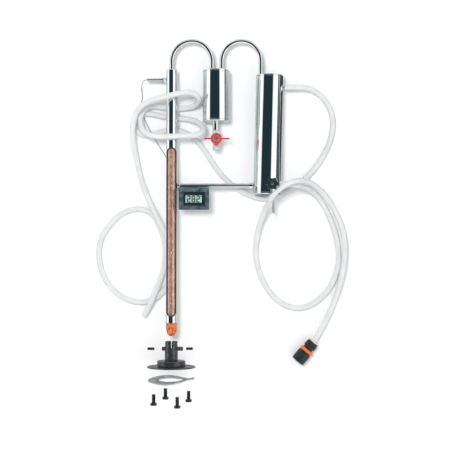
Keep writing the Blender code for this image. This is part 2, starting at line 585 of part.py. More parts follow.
# ---------------------------------------------------------------- mounting adapter
def make_adapter():
    dark = (GUNMETAL, 0.4, 0.8)
    socket = turned("socket_tube", [
        (13.0, SOCKET_TOP), (13.0, SOCKET_STEP), (13.7, SOCKET_STEP - 0.6),
        (13.7, SOCKET_BOTTOM), (SOCKET_BORE, SOCKET_BOTTOM), (SOCKET_BORE, SOCKET_TOP)],
        closed=True, steps=24, along=UP_COLUMN, look=dark)
    slot = box("slot_cutter", (2.4, 20.0, 40.0), (0, SOCKET_STEP + 11.5, 0))
    across = rod("clamp_cutter", CLAMP_HOLE_RADIUS, -25, 25, steps=16, at=(0, CLAMP_Y, 0),
                 along=(1, 0, 0))
    cut(socket, slot, across)
    for name, side in (("left_boss", -1), ("right_boss", 1)):
        boss = rod(name, 4.2, 5, 19.7, chamfer=0.5, steps=16, at=(0, CLAMP_Y, 0),
                   along=(side, 0, 0), look=dark)
        around = rod(name + "_cutter", 13.7 + GAP, SOCKET_STEP - 12, SOCKET_TOP + 4, steps=24,
                     along=UP_COLUMN)
        cut(boss, around, across)
    hexagon = circle(4.9, 6)
    nut = outline_plate("lock_nut", [hexagon], 4.0, at=(22.2, CLAMP_Y, 0), along=(1, 0, 0),
                        look=dark)
    cut(nut, across)

    boss_ring = ring("boss_ring", BOSS_RING_RADIUS, SOCKET_BORE, FLANGE_TOP + GAP,
                     SOCKET_BOTTOM - GAP, steps=24, along=UP_COLUMN, look=dark)
    edge = boss_ring.modifiers.new("edge", "BEVEL")
    edge.width = 0.8 * MM
    edge.segments = 1
    edge.limit_method = "ANGLE"
    holes = [circle(BOLT_HOLE_RADIUS, 12, (BOLT_CIRCLE * math.cos(math.radians(a)),
                                           BOLT_CIRCLE * math.sin(math.radians(a))))
             for a in BOLT_ANGLES]
    outline_plate("flange_disc", [circle(FLANGE_RADIUS, 36), circle(SOCKET_BORE, 24), *holes],
                  FLANGE_TOP - FLANGE_BOTTOM, at=(0, (FLANGE_TOP + FLANGE_BOTTOM) / 2, 0),
                  along=(0, -1, 0), look=dark)
    outline_plate("gasket", [circle(GASKET_OUTER, 36), circle(GASKET_INNER, 24), *holes],
                  GASKET_THICKNESS, at=(0, GASKET_Y, 0), along=(0, -1, 0),
                  look=((0.38, 0.38, 0.38), 0.6, 0.0))


def make_screws():
    dark = ((0.045, 0.045, 0.05), 0.45, 0.7)
    for name, side, near, far in (("clamp_screw_left", -1, 35.5, 50.0),
                                  ("clamp_screw_right", 1, 30.7, 45.2)):
        screw = rod(name, 3.0, near, far, chamfer=0.9, steps=16, at=(0, CLAMP_Y, 0),
                    along=(side, 0, 0), look=dark)
        cut(screw, rod(name + "_cutter", 1.6, far - 3.0, far + 2, steps=6, at=(0, CLAMP_Y, 0),
                       along=(side, 0, 0)))
    for number, angle in enumerate(BOLT_ANGLES, start=1):
        x = BOLT_CIRCLE * math.cos(math.radians(angle))
        z = BOLT_CIRCLE * math.sin(math.radians(angle))
        tip = SCREW_TIP - SCREW_STAGGER * z
        head_top = tip - SCREW_LENGTH
        outline = [(0, tip), (3.2, tip), (3.9, tip - 0.8), (3.9, head_top),
                   (6.75, head_top), (6.75, head_top - SCREW_HEAD + 0.6),
                   (6.1, head_top - SCREW_HEAD), (0, head_top - SCREW_HEAD)]
        screw = turned("flange_screw_%d" % number, outline, steps=12, at=(x, 0, z),
                       along=UP_COLUMN, look=dark)
        cut(screw, rod("hex_cutter_%d" % number, 3.5, head_top - SCREW_HEAD - 2,
                       head_top - SCREW_HEAD + 2.6, steps=6, at=(x, 0, z), along=UP_COLUMN))


# ---------------------------------------------------------------- hoses, wire, connector
def make_cords():
    clear_pvc = ((0.84, 0.87, 0.88), 0.25, 0.0, 0.6)
    swept("supply_hose", smooth_path(SUPPLY_ROUTE, 33), HOSE_RADIUS, BENCH, look=clear_pvc)
    swept("drain_hose", smooth_path(DRAIN_ROUTE, 31), HOSE_RADIUS, BENCH, look=clear_pvc)
    swept("sensor_wire", smooth_path(WIRE_ROUTE, 7), WIRE_RADIUS, BENCH,
          look=((0.32, 0.34, 0.35), 0.5, 0.0), sides=1)


def make_connector():
    place = {"parent": BENCH, "at": CONNECTOR_START, "along": CONNECTOR_DIRECTION}
    dark = ((0.018, 0.035, 0.04), 0.4, 0.0)
    body = [(9.6, 1.2), (9.6, 15.0), (11.0, 15.4), (11.0, 26.6), (13.6, 27.4), (14.3, 29),
            (14.3, 51.6), (13.4, 53.0), (8.4, 53.0), (8.4, 30.0), (5.2, 29.0), (5.2, 1.2)]
    body.reverse()
    turned("connector_body", body, closed=True, steps=20, look=dark, **place)
    nut = [(10.4, GAP), (12.6, 3.2), (12.9, 14.6), (9.6 + GAP, 14.6), (9.6 + GAP, GAP)]
    nut.reverse()
    turned("connector_nut", nut, closed=True, steps=20, look=dark, **place)
    release = [(13.9, 19.4), (14.7, 20.2), (14.7, 25.3), (14.0, 26.1), (11.0 + GAP, 26.1),
               (11.0 + GAP, 19.4)]
    release.reverse()
    turned("connector_ring", release, closed=True, steps=20, look=((0.86, 0.16, 0.03), 0.35, 0.0),
           **place)
    ring("connector_collet", 4.9, 3.0, 1.6, 12.0, steps=16, look=((0.86, 0.62, 0.48), 0.4, 0.0),
         **place)
    ring("connector_seal", 8.1, 6.6, 31.2, 33.4, steps=20, look=((0.03, 0.03, 0.03), 0.6, 0.0),
         **place)


make_column()
make_sensor_well()
make_bends()
make_chamber()
make_condenser()
make_cross_bar()
make_thermometer()
make_tap()
make_valve()
make_adapter()
make_screws()
make_cords()
make_connector()
bpy.context.view_layer.update()
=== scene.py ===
"""Looks of a home still column head, lying on a pale table with its mounting kit laid out below it.

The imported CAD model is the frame. Lengths here are in millimetres in the head's own frame (X to the
right, Y up the column, Z out of the table) and are turned to metres as each mesh is made. Hoses, the
sensor wire and the quick connector are placed in the bench frame instead.
"""
import json
import random
from math import asin, cos, pi, radians, sin, sqrt, tau

import bmesh
import bpy
from mathutils import Matrix, Vector, noise


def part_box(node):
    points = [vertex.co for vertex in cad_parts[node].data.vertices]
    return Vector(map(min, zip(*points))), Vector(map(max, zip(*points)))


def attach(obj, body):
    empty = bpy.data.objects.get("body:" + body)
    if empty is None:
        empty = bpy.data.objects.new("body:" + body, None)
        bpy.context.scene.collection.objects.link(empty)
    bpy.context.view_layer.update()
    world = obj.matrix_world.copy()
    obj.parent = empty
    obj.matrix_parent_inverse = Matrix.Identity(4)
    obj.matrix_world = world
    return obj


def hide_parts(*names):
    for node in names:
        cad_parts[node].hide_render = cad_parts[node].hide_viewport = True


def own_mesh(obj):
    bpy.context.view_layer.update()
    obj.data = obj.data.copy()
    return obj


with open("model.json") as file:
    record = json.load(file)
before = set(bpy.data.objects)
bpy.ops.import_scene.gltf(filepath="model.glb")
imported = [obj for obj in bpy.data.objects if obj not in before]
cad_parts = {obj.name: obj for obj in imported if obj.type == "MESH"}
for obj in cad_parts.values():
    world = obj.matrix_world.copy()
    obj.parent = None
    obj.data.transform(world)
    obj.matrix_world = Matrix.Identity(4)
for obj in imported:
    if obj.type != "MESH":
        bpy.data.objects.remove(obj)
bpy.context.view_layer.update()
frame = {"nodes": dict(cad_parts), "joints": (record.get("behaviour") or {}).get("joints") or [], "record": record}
MM = 0.001
SCENE = bpy.context.scene

# ---------------------------------------------------------------- frames, from the CAD model
COLUMN_RADIUS = 12.0
CONDENSER_FOOT, CONDENSER_LEAN = Vector((200.5, 269.2, 0)), -1.54
BENCH_SHIFT = Vector((-0.15, -4.84, 0.0))
JOINT = {joint["name"]: joint for joint in frame["joints"]}
UP = Vector(JOINT["adapter_slide"]["axis"])
TILT = asin(-UP.z)
COLUMN_LOW, COLUMN_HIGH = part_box("column_tube")
FOOT = Vector(((COLUMN_LOW.x + COLUMN_HIGH.x) / 2,
               COLUMN_LOW.y + COLUMN_RADIUS * MM * sin(TILT),
               COLUMN_HIGH.z - COLUMN_RADIUS * MM * cos(TILT)))
HEAD = Matrix.Translation(FOOT) @ Matrix.Rotation(-TILT, 4, "X")
CONDENSER = (HEAD @ Matrix.Translation(CONDENSER_FOOT * MM)
             @ Matrix.Rotation(radians(CONDENSER_LEAN), 4, "Z"))
BENCH = Matrix.Translation(BENCH_SHIFT * MM)
UP_COLUMN, DOWN_COLUMN = (0, 1, 0), (0, -1, 0)
ACROSS, OUTWARD = (1, 0, 0), (0, 0, 1)


def added(name, data):
    """A new object in the scene."""
    obj = bpy.data.objects.new(name, data)
    SCENE.collection.objects.link(obj)
    return obj


# ---------------------------------------------------------------- shader nodes
def connect(tree, made, inputs):
    """Link each input of a node to the socket given, or set it to the constant given."""
    for name, value in inputs.items():
        if isinstance(value, bpy.types.NodeSocket):
            tree.links.new(value, made.inputs[name])
        else:
            made.inputs[name].default_value = value
    return made


def node(tree, kind, inputs):
    """A new shader node with its inputs."""
    return connect(tree, tree.nodes.new("ShaderNode" + kind), inputs)


def share_of(tree, value, low, high, result=(0.0, 1.0)):
    """A share that runs over the result's range as the value goes from low to high."""
    return node(tree, "MapRange", {"Value": value, "From Min": low, "From Max": high,
                                   "To Min": result[0], "To Max": result[1]}).outputs[0]


def blend(tree, share, first, second):
    """The first colour where the share is 0, the second where it is 1."""
    mix = tree.nodes.new("ShaderNodeMix")
    mix.data_type = "RGBA"
    return connect(tree, mix, {"Factor": share, "A": first, "B": second}).outputs["Result"]


def ramp(tree, share, stops):
    """Colours along a share, from (position, colour) stops."""
    made = node(tree, "ValToRGB", {0: share})
    elements = made.color_ramp.elements
    while len(elements) > 1:
        elements.remove(elements[-1])
    for number, (position, colour) in enumerate(stops):
        element = elements[0] if number == 0 else elements.new(position)
        element.position = position
        element.color = (*colour, 1.0)
    return made.outputs["Color"]


def surface(name, inputs):
    """A material whose shader has the sockets named set to constants."""
    material = bpy.data.materials.new(name)
    material.use_nodes = True
    connect(material.node_tree, material.node_tree.nodes["Principled BSDF"], inputs)
    return material


# ---------------------------------------------------------------- camera, light and table
CAMERA_PLACE, LENS, SENSOR = (0.01565, -0.00844, 2.147), 80.0, 36.0
DARK, DIM = (0.014, 0.030, 0.038), (0.05, 0.07, 0.075)
GREY, WHITE = (0.5, 0.52, 0.53), (1.0, 1.0, 1.0)
BANDS = [(-180, GREY), (-106, GREY), (-100, WHITE), (-58, WHITE), (-53, DARK), (27, DARK),
         (33, WHITE), (75, WHITE), (79, DIM), (104, DIM), (110, GREY)]
FRONT_EDGE, FRONT_WALL = (-0.36, -0.28), (0.85, 0.86, 0.87, 1.0)
BACK_EDGE, BACK_WALL = (0.70, 0.80), (0.60, 0.64, 0.64, 1.0)
ROOM, BACKDROP = (0.98, 0.985, 1.0, 1.0), (0.92, 0.93, 0.94, 1.0)
STUDIO_LIGHT, ROOM_LIGHT, BACKDROP_LIGHT = 1.2, 0.53, 1.0
# The second table colour is a painted reflection: the table as reflections see it, darker and greener.
TABLE, TABLE_PAINTED_IN_REFLECTIONS = (0.93, 0.93, 0.93, 1.0), (0.60, 0.65, 0.64, 1.0)
TABLE_REACH, MATT = 6.0, 0.9


def make_camera():
    """Straight down, as the object was photographed."""
    data = bpy.data.cameras.new("camera")
    data.lens, data.sensor_width = LENS, SENSOR
    camera = added("camera", data)
    camera.location = CAMERA_PLACE
    SCENE.camera = camera


def make_world():
    """A studio of long soft boxes along Y, with a dark ceiling strip between them.

    The bands run over the angle round Y, from the table on the left, over the top, to the right.
    They stop at a pale wall in front and a grey one behind. Only reflections see the studio: matt
    surfaces are lit by a plain room, and the camera sees a plain backdrop."""
    world = bpy.data.worlds.new("studio")
    SCENE.world = world
    world.use_nodes = True
    tree = world.node_tree
    tree.nodes.clear()
    ray = node(tree, "TexCoord", {}).outputs["Generated"]
    across, along, up = node(tree, "SeparateXYZ", {0: ray}).outputs
    angle = node(tree, "Math", {0: across, 1: up})
    angle.operation = "ARCTAN2"
    turn = share_of(tree, angle.outputs[0], -pi, pi)
    strips = ramp(tree, turn, [((degrees + 180) / 360, colour) for degrees, colour in BANDS])
    strips = blend(tree, share_of(tree, along, *FRONT_EDGE), FRONT_WALL, strips)
    strips = blend(tree, share_of(tree, along, *BACK_EDGE), strips, BACK_WALL)
    studio, room, backdrop = (
        node(tree, "Background", {"Color": colour, "Strength": strength}).outputs[0]
        for colour, strength in ((strips, STUDIO_LIGHT), (ROOM, ROOM_LIGHT), (BACKDROP, BACKDROP_LIGHT)))
    path = node(tree, "LightPath", {}).outputs
    soft = node(tree, "MixShader", {0: path["Is Diffuse Ray"], 1: studio, 2: room}).outputs[0]
    mix = node(tree, "MixShader", {0: path["Is Camera Ray"], 1: soft, 2: backdrop}).outputs[0]
    node(tree, "OutputWorld", {0: mix})


def make_lights():
    """A big soft key from the upper left and a weaker fill; neither shows in the steel."""
    for name, where, size, power in (("key", (-0.33, 0.38, 2.15), 0.5, 26.0),
                                     ("fill", (1.2, -0.9, 1.8), 1.8, 9.0)):
        data = bpy.data.lights.new(name, "AREA")
        data.shape, data.size, data.energy = "DISK", size, power
        light = added(name, data)
        light.location = where
        light.rotation_mode = "QUATERNION"
        light.rotation_quaternion = (-Vector(where)).to_track_quat("-Z", "Y")
        light.visible_glossy = False


def staged_sheet(name, left, right, near, far, height, material):
    """A flat sheet of the set, in metres, which is no part of the object."""
    mesh = bpy.data.meshes.new(name)
    mesh.from_pydata([(left, near, height), (right, near, height), (right, far, height),
                      (left, far, height)], [], [(0, 1, 2, 3)])
    mesh.materials.append(material)
    sheet = added(name, mesh)
    return sheet


def make_floor():
    """A white table; reflections see it in a painted darker, greener colour, a painted shade in the steel."""
    white = surface("table_white", {"Roughness": MATT, "Specular IOR Level": 0.1})
    tree = white.node_tree
    # Painted reflection: rays reflected off the steel see the table darker and greener than the camera does.
    mirrored = node(tree, "LightPath", {}).outputs["Is Glossy Ray"]
    connect(tree, tree.nodes["Principled BSDF"],
         {"Base Color": blend(tree, mirrored, TABLE, TABLE_PAINTED_IN_REFLECTIONS)})
    staged_sheet("table_top", -TABLE_REACH, TABLE_REACH, -TABLE_REACH, TABLE_REACH, 0.0, white)


def make_flag():
    """A black card beside the condenser, for its dark right edge; only reflections see it."""
    black = surface("flag_black", {"Base Color": (0.02, 0.03, 0.035, 1.0), "Roughness": MATT})
    flag = staged_sheet("black_flag", 0.150, 3.0, -0.05, 0.38, 0.0006, black)
    flag.visible_camera = flag.visible_diffuse = flag.visible_shadow = False
    flag.visible_transmission = False


# ---------------------------------------------------------------- materials
TONE_RANGE, GLOSS_RANGE = (0.32, 0.68), (0.3, 0.7)
CLOUD_DETAIL, RELIEF_DETAIL, RELIEF_STRENGTH, RELIEF_FINER = 6.0, 3.0, 0.6, 4


def finish(name, dark, light, scale, roughness, metallic=0.0, grain=(1, 1, 1), bump=0.0,
           bump_scale=None, fixed=None, alpha=1.0):
    """A procedural surface: clouded colour and roughness from one noise, fine relief from another.

    scale is in features a metre, grain stretches them, bump is in millimetres, and fixed sets
    sockets that never vary."""
    material = surface(name, {"Metallic": metallic, "Alpha": alpha, **(fixed or {})})
    tree = material.node_tree
    where = node(tree, "TexCoord", {}).outputs["Object"]
    spread = node(tree, "Mapping", {"Vector": where, "Scale": grain}).outputs[0]
    clouds = node(tree, "TexNoise", {"Vector": spread, "Scale": scale,
                                     "Detail": CLOUD_DETAIL}).outputs["Fac"]
    looks = {"Base Color": ramp(tree, clouds, zip(TONE_RANGE, (dark, light))),
             "Roughness": share_of(tree, clouds, *GLOSS_RANGE, roughness)}
    if bump:
        fine = node(tree, "TexNoise", {"Vector": spread, "Scale": bump_scale or scale * RELIEF_FINER,
                                       "Detail": RELIEF_DETAIL}).outputs["Fac"]
        looks["Normal"] = node(tree, "Bump", {"Height": fine, "Strength": RELIEF_STRENGTH,
                                              "Distance": bump * MM}).outputs[0]
    connect(tree, tree.nodes["Principled BSDF"], looks)
    return material


# Dark tone, light tone, features a metre, range of roughness, and what sets the finish apart.
FINISHES = {
    "polished_steel": ((0.80, 0.83, 0.84), (0.88, 0.90, 0.91), 30, (0.035, 0.075),
                       dict(metallic=1.0, grain=(1, 1, 0.3), bump=0.0012, bump_scale=300)),
    "satin_steel": ((0.62, 0.65, 0.66), (0.76, 0.79, 0.80), 120, (0.28, 0.40),
                    dict(metallic=1.0, grain=(1, 1, 0.08), bump=0.015, bump_scale=2400)),
    "copper_mesh": ((0.56, 0.29, 0.19), (0.92, 0.62, 0.48), 120, (0.13, 0.24),
                    dict(metallic=0.72, grain=(1, 1, 0.45), bump=0.012, bump_scale=2600,
                         fixed={"Coat Weight": 0.8, "Coat Roughness": 0.1, "Coat IOR": 2.2})),
    "bright_mesh": ((0.40, 0.010, 0.003), (1.0, 0.36, 0.10), 230, (0.35, 0.55),
                    dict(metallic=0.2, bump=0.05, bump_scale=2600)),
    "black_trim": ((0.010, 0.012, 0.014), (0.03, 0.035, 0.04), 500, (0.45, 0.6), dict(bump=0.03)),
    "slate_plastic": ((0.014, 0.034, 0.048), (0.11, 0.155, 0.18), 95, (0.36, 0.48),
                      dict(bump=0.04, bump_scale=2200)),
    "dark_plastic": ((0.003, 0.012, 0.015), (0.014, 0.028, 0.032), 120, (0.26, 0.38),
                     dict(bump=0.03, bump_scale=2600)),
    "clear_lens": ((0.93, 0.98, 0.97), (0.97, 1.0, 0.99), 60, (0.02, 0.05),
                   dict(fixed={"Coat Weight": 0.2}, alpha=0.05)),
    # Painted glow: the display's emission makes it shine faintly by itself, though it is no lamp.
    "display": ((0.20, 0.43, 0.37), (0.34, 0.60, 0.52), 80, (0.3, 0.42),
                dict(fixed={"Emission Color": (0.35, 0.7, 0.6, 1), "Emission Strength": 0.04})),
    "circuit_board": ((0.01, 0.12, 0.05), (0.03, 0.25, 0.10), 700, (0.3, 0.45), {}),
    "natural_plastic": ((0.56, 0.64, 0.60), (0.76, 0.82, 0.79), 90, (0.22, 0.34),
                        dict(bump=0.03, bump_scale=1500, alpha=0.92,
                             fixed={"Subsurface Weight": 0.2})),
    "red_plastic": ((0.66, 0.018, 0.035), (0.82, 0.04, 0.05), 110, (0.2, 0.32),
                    dict(bump=0.03, bump_scale=1600, fixed={"Coat Weight": 0.2})),
    "valve_metal": ((0.20, 0.24, 0.25), (0.42, 0.46, 0.48), 160, (0.25, 0.4),
                    dict(metallic=1.0, bump=0.02, bump_scale=1800)),
    "gunmetal": ((0.055, 0.055, 0.06), (0.115, 0.115, 0.12), 140, (0.26, 0.38),
                 dict(metallic=0.75, grain=(1, 1, 3), bump=0.015, bump_scale=1500)),
    "black_screw": ((0.03, 0.03, 0.033), (0.075, 0.075, 0.08), 300, (0.28, 0.42),
                    dict(metallic=0.8, bump=0.02)),
    "grey_silicone": ((0.41, 0.41, 0.41), (0.47, 0.47, 0.47), 90, (0.5, 0.62),
                      dict(bump=0.02, bump_scale=900)),
    "clear_hose": ((0.83, 0.84, 0.84), (0.91, 0.915, 0.915), 45, (0.16, 0.26),
                   dict(bump=0.02, bump_scale=700, alpha=0.74, fixed={"Coat Weight": 0.25})),
    "grey_wire": ((0.26, 0.28, 0.29), (0.38, 0.40, 0.41), 300, (0.4, 0.55), dict(bump=0.02)),
    "orange_plastic": ((0.84, 0.13, 0.015), (0.95, 0.20, 0.03), 120, (0.24, 0.36),
                       dict(bump=0.03, bump_scale=1800)),
    "peach_plastic": ((0.80, 0.52, 0.38), (0.92, 0.68, 0.54), 160, (0.3, 0.42), dict(bump=0.02)),
}
LOOK = {name: finish(name, *tones, **rest) for name, (*tones, rest) in FINISHES.items()}


# ---------------------------------------------------------------- mesh helpers
SHARP, SOFT = 35, 80
TINY, CORNER_SHARE = 1e-6, 0.45


def shaped(name, verts, faces, sharp=SHARP):
    """A mesh in metres from points in millimetres; edges bent by more than sharp degrees show."""
    mesh = bpy.data.meshes.new(name)
    mesh.from_pydata([Vector(v) * MM for v in verts], [], faces)
    return polished(mesh, sharp)


def polished(mesh, sharp=SHARP):
    """Merge a mesh's doubled points, turn its faces out and shade it smooth."""
    bm = bmesh.new()
    bm.from_mesh(mesh)
    bmesh.ops.remove_doubles(bm, verts=bm.verts, dist=TINY)
    bmesh.ops.recalc_face_normals(bm, faces=bm.faces)
    bm.to_mesh(mesh)
    bm.free()
    mesh.shade_smooth()
    mesh.set_sharp_from_angle(angle=radians(sharp))
    return mesh


def rounded(outline, radius, closed=False, bits=4):
    """The outline with each corner replaced by a short curve, as a turned or pressed edge has."""
    points = [Vector(p) for p in outline]
    result = []
    for i, corner in enumerate(points):
        if not closed and i in (0, len(points) - 1):
            result.append(corner)
            continue
        before, after = points[i - 1], points[(i + 1) % len(points)]
        reach = min(radius, (before - corner).length * CORNER_SHARE,
                    (after - corner).length * CORNER_SHARE)
        start = corner + (before - corner).normalized() * reach
        end = corner + (after - corner).normalized() * reach
        for k in range(bits + 1):
            t = k / bits
            result.append(start * (1 - t) ** 2 + corner * 2 * t * (1 - t) + end * t * t)
    return [tuple(p) for p in result]


def polar(radius, angle):
    """The x and y of a point at an angle."""
    return radius * cos(angle), radius * sin(angle)


def band(low, high):
    """The faces between two rings of points."""
    count = len(low)
    return [(low[i], low[(i + 1) % count], high[(i + 1) % count], high[i]) for i in range(count)]


def lathe(name, outline, steps=96, closed=False, edge=0.0, press=None, sharp=SHARP):
    """A turned shape about Z, from (radius, height) points; press can push ribs or flutes into it.

    edge rounds the outline's corners, and closed joins its last point to its first."""
    if edge:
        outline = rounded(outline, edge, closed)
    verts, rows, faces = [], [], []
    for radius, height in outline:
        if radius < TINY:
            rows.append([len(verts)] * steps)
            verts.append((0, 0, height))
            continue
        rows.append(range(len(verts), len(verts) + steps))
        for i in range(steps):
            angle = tau * i / steps
            r, h = press(radius, height, angle) if press else (radius, height)
            verts.append((*polar(r, angle), h))
    pairs = list(zip(rows, rows[1:]))
    if closed:
        pairs.append((rows[-1], rows[0]))
    for low, high in pairs:
        corners = [list(dict.fromkeys(face)) for face in band(low, high)]
        faces.extend(face for face in corners if len(face) > 2)
    return shaped(name, verts, faces, sharp)


def carried_frames(points, closed=False):
    """(point, side, lift) along a path, turned as little as the path allows."""
    count = len(points)
    side = None
    frames = []
    for i, point in enumerate(points):
        ahead = points[(i + 1) % count] if closed or i < count - 1 else point
        behind = points[i - 1] if closed or i > 0 else point
        along = (ahead - behind).normalized()
        if side is None:
            side = along.orthogonal().normalized()
        side = (side - along * side.dot(along)).normalized()
        frames.append((point, side, along.cross(side)))
    return frames


def tube(name, points, radius, sides=24, bore=0.0, closed=False, verts=None, faces=None):
    """A swept round bar or pipe; with verts and faces given, it only adds itself to them.

    radius is a number, or a function of the share of the way along."""
    points = [Vector(p) for p in points]
    alone = verts is None
    verts, faces = ([], []) if alone else (verts, faces)
    walls = [(radius, 1)] + ([(bore, -1)] if bore else [])
    ends = []
    for size, turn in walls:
        first = len(verts)
        for i, (point, side, lift) in enumerate(carried_frames(points, closed)):
            r = size(i / (len(points) - 1)) if callable(size) else size
            for k in range(sides):
                angle = tau * k / sides
                verts.append(point + side * r * cos(angle) + lift * r * sin(angle))
        rows = [range(first + i * sides, first + (i + 1) * sides) for i in range(len(points))]
        pairs = list(zip(rows, rows[1:])) + ([(rows[-1], rows[0])] if closed else [])
        for low, high in pairs:
            faces.extend(face[::turn] for face in band(low, high))
        ends.append((rows[0], rows[-1]))
    if not closed and bore:
        for outer, inner in zip(ends[0], ends[1]):
            faces.extend(band(outer, inner))
    elif not closed:
        faces.extend((tuple(ends[0][0])[::-1], tuple(ends[0][1])))
    if alone:
        return shaped(name, verts, faces, 50)
    return None


def evaluated(obj):
    """An object with its modifiers and curve settings worked out."""
    bpy.context.view_layer.update()
    return obj.evaluated_get(bpy.context.evaluated_depsgraph_get())


def plate(name, outlines, thickness, rounding):
    """A flat plate from closed outlines with rounded edges; an inner outline is a hole."""
    curve = bpy.data.curves.new(name, "CURVE")
    curve.dimensions, curve.fill_mode = "2D", "BOTH"
    curve.extrude = (thickness / 2 - rounding) * MM
    curve.bevel_depth, curve.bevel_resolution = rounding * MM, 2
    curve.offset = -rounding * MM
    for outline in outlines:
        spline = curve.splines.new("POLY")
        spline.points.add(len(outline) - 1)
        for point, (x, y) in zip(spline.points, outline):
            point.co = (x * MM, y * MM, 0.0, 1.0)
        spline.use_cyclic_u = True
    holder = added(name + "_curve", curve)
    mesh = bpy.data.meshes.new_from_object(evaluated(holder))
    bpy.data.objects.remove(holder, do_unlink=True)
    mesh.name = name
    mesh.materials.clear()
    return polished(mesh, 40)


def block(name, size, edge):
    """A box with rounded edges, centred on its origin."""
    mesh = bpy.data.meshes.new(name)
    bm = bmesh.new()
    bmesh.ops.create_cube(bm, size=1.0, matrix=Matrix.Diagonal((*(s * MM for s in size), 1)))
    bmesh.ops.bevel(bm, geom=bm.edges[:], offset=edge * MM, segments=4, profile=0.5,
                    affect="EDGES")
    bm.to_mesh(mesh)
    bm.free()
    return polished(mesh, 40)


# The loose mounting kit throws no shadow on the table, as in the catalogue layout.
KIT = ("adapter", "gasket", "clamp_left", "clamp_right", "screw_1", "screw_2", "screw_3", "screw_4")


def placed(frame_matrix, at, along):
    """A place in one of the frames, turned so that its Z runs along the direction given."""
    turn = Vector(OUTWARD).rotation_difference(Vector(along)).to_matrix().to_4x4()
    return frame_matrix @ Matrix.Translation(Vector(at) * MM) @ turn


def piece(mesh, look, body="root", replaces=(), at=(0, 0, 0), along=OUTWARD, within=HEAD):
    """Put a mesh in the scene on its body, as the piece that stands for the CAD nodes named."""
    obj = added(mesh.name, mesh)
    obj.matrix_world = placed(within, at, along)
    mesh.materials.append(LOOK[look])
    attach(obj, body)
    obj.visible_shadow = body not in KIT
    if replaces:
        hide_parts(*replaces)
    return obj


def turned(name, outline, look, stands_for, place, body="root", **shape):
    """A turned piece, with its CAD node if it has one; place goes to piece and shape to lathe."""
    replaces = (stands_for,) if stands_for else ()
    return piece(lathe(name, outline, **shape), look, body, replaces, **place)


def fluted(depth, count, beyond, low, high, sharpness=1.0, run_out=0.0):
    """A press for lathe: flutes in what lies beyond a radius, between two heights."""
    def press(r, h, angle):
        if r <= beyond or not low < h < high:
            return r, h
        fade = min(1.0, (h - low) / run_out, (high - h) / run_out) if run_out else 1.0
        return r - depth * fade * max(0.0, cos(angle * count)) ** sharpness, h

    return press


def cut(obj, mesh, at=(0, 0, 0), along=OUTWARD, how="DIFFERENCE"):
    """Take a mesh placed in the head's frame out of a piece, or join it on, for good."""
    cutter = added("cutter", mesh)
    cutter.matrix_world = placed(HEAD, at, along)
    boolean = obj.modifiers.new("cut", "BOOLEAN")
    boolean.operation, boolean.object, boolean.solver = how, cutter, "EXACT"
    result = bpy.data.meshes.new_from_object(evaluated(obj))
    obj.modifiers.clear()
    old, obj.data = obj.data, result
    name = old.name
    bpy.data.meshes.remove(old)
    bpy.data.objects.remove(cutter, do_unlink=True)
    result.name = name
    while len(result.materials) > 1:
        result.materials.pop()
    result.shade_smooth()
    result.set_sharp_from_angle(angle=radians(SHARP))


def rod(radius, low, high):
    """The outline of a plain round bar between two heights."""
    return [(0, low), (radius, low), (radius, high), (0, high)]


def circle(radius, count, centre=(0, 0)):
    """The outline of a round hole or rim."""
    return [(centre[0] + radius * cos(tau * i / count),
             centre[1] + radius * sin(tau * i / count)) for i in range(count)]


def rectangle(width, height, corner, centre=(0, 0)):
    """The outline of a rectangle with rounded corners."""
    half, rise = width / 2, height / 2
    outline = [(half, rise), (-half, rise), (-half, -rise), (half, -rise)]
    return [(centre[0] + x, centre[1] + y) for x, y in rounded(outline, corner, closed=True)]


def hexagon(radius, angle):
    """How far a hexagon with this corner radius reaches at an angle."""
    sixth = pi / 3
    return radius * cos(sixth / 2) / cos(angle % sixth - sixth / 2)


def smooth_path(route, spacing):
    """Even points along the cubic B-spline that a route's points guide, ends included."""
    bits = 12
    points = [Vector(p) for p in route]
    points = [2 * points[0] - points[1], *points, 2 * points[-1] - points[-2]]
    fine = []
    for a, b, c, d in zip(points, points[1:], points[2:], points[3:]):
        for i in range(bits):
            t = i / bits
            fine.append(((1 - t) ** 3 * a + (3 * t ** 3 - 6 * t * t + 4) * b
                         + (-3 * t ** 3 + 3 * t * t + 3 * t + 1) * c + t ** 3 * d) / 6)
    fine.append((points[-3] + 4 * points[-2] + points[-1]) / 6)
    lengths = [0.0]
    for a, b in zip(fine, fine[1:]):
        lengths.append(lengths[-1] + (b - a).length)
    count = round(lengths[-1] / spacing)
    even, at = [], 0
    for i in range(count + 1):
        target = lengths[-1] * i / count
        while at < len(fine) - 2 and lengths[at + 1] < target:
            at += 1
        share = (target - lengths[at]) / (lengths[at + 1] - lengths[at])
        even.append(fine[at].lerp(fine[at + 1], share))
    return even


# ---------------------------------------------------------------- hoses and wire
HOSE_RADIUS, HOSE_BORE, WIRE_RADIUS = 6.0, 4.1, 0.85
SUPPLY_ROUTE = [
    (134.3, 81.2, 71), (145, 81.2, 71), (157, 80.5, 67), (172, 78, 54), (187, 74, 36), (204, 66, 19),
    (220, 51, 8), (234, 26, 6), (247, -4, 6), (256, -36, 6), (260, -66, 6), (259, -91, 6),
    (251, -120, 6), (236, -145, 6), (216, -166, 6), (192, -180, 6), (168, -183, 6),
    (144, -177, 6), (122, -161, 6), (103, -137, 6), (90, -108, 6), (82, -79, 6), (81, -51, 7),
    (85, -22, 12), (92, 7, 24), (101, 32, 44), (111, 52, 67), (123, 66, 79), (135, 76, 85),
    (150, 84, 84.5), (166, 88, 76), (184, 89, 61), (203, 81, 44), (223, 66, 27), (242, 42, 13),
    (259, 12, 8), (269, -18, 9), (272, -44, 15), (271, -67, 20), (269, -91, 19),
    (264, -119, 13), (257, -149, 8), (246.5, -177, 7), (234.5, -202, 9), (219.8, -228.5, 12.5),
    (204.4, -252.9, 14.8)]
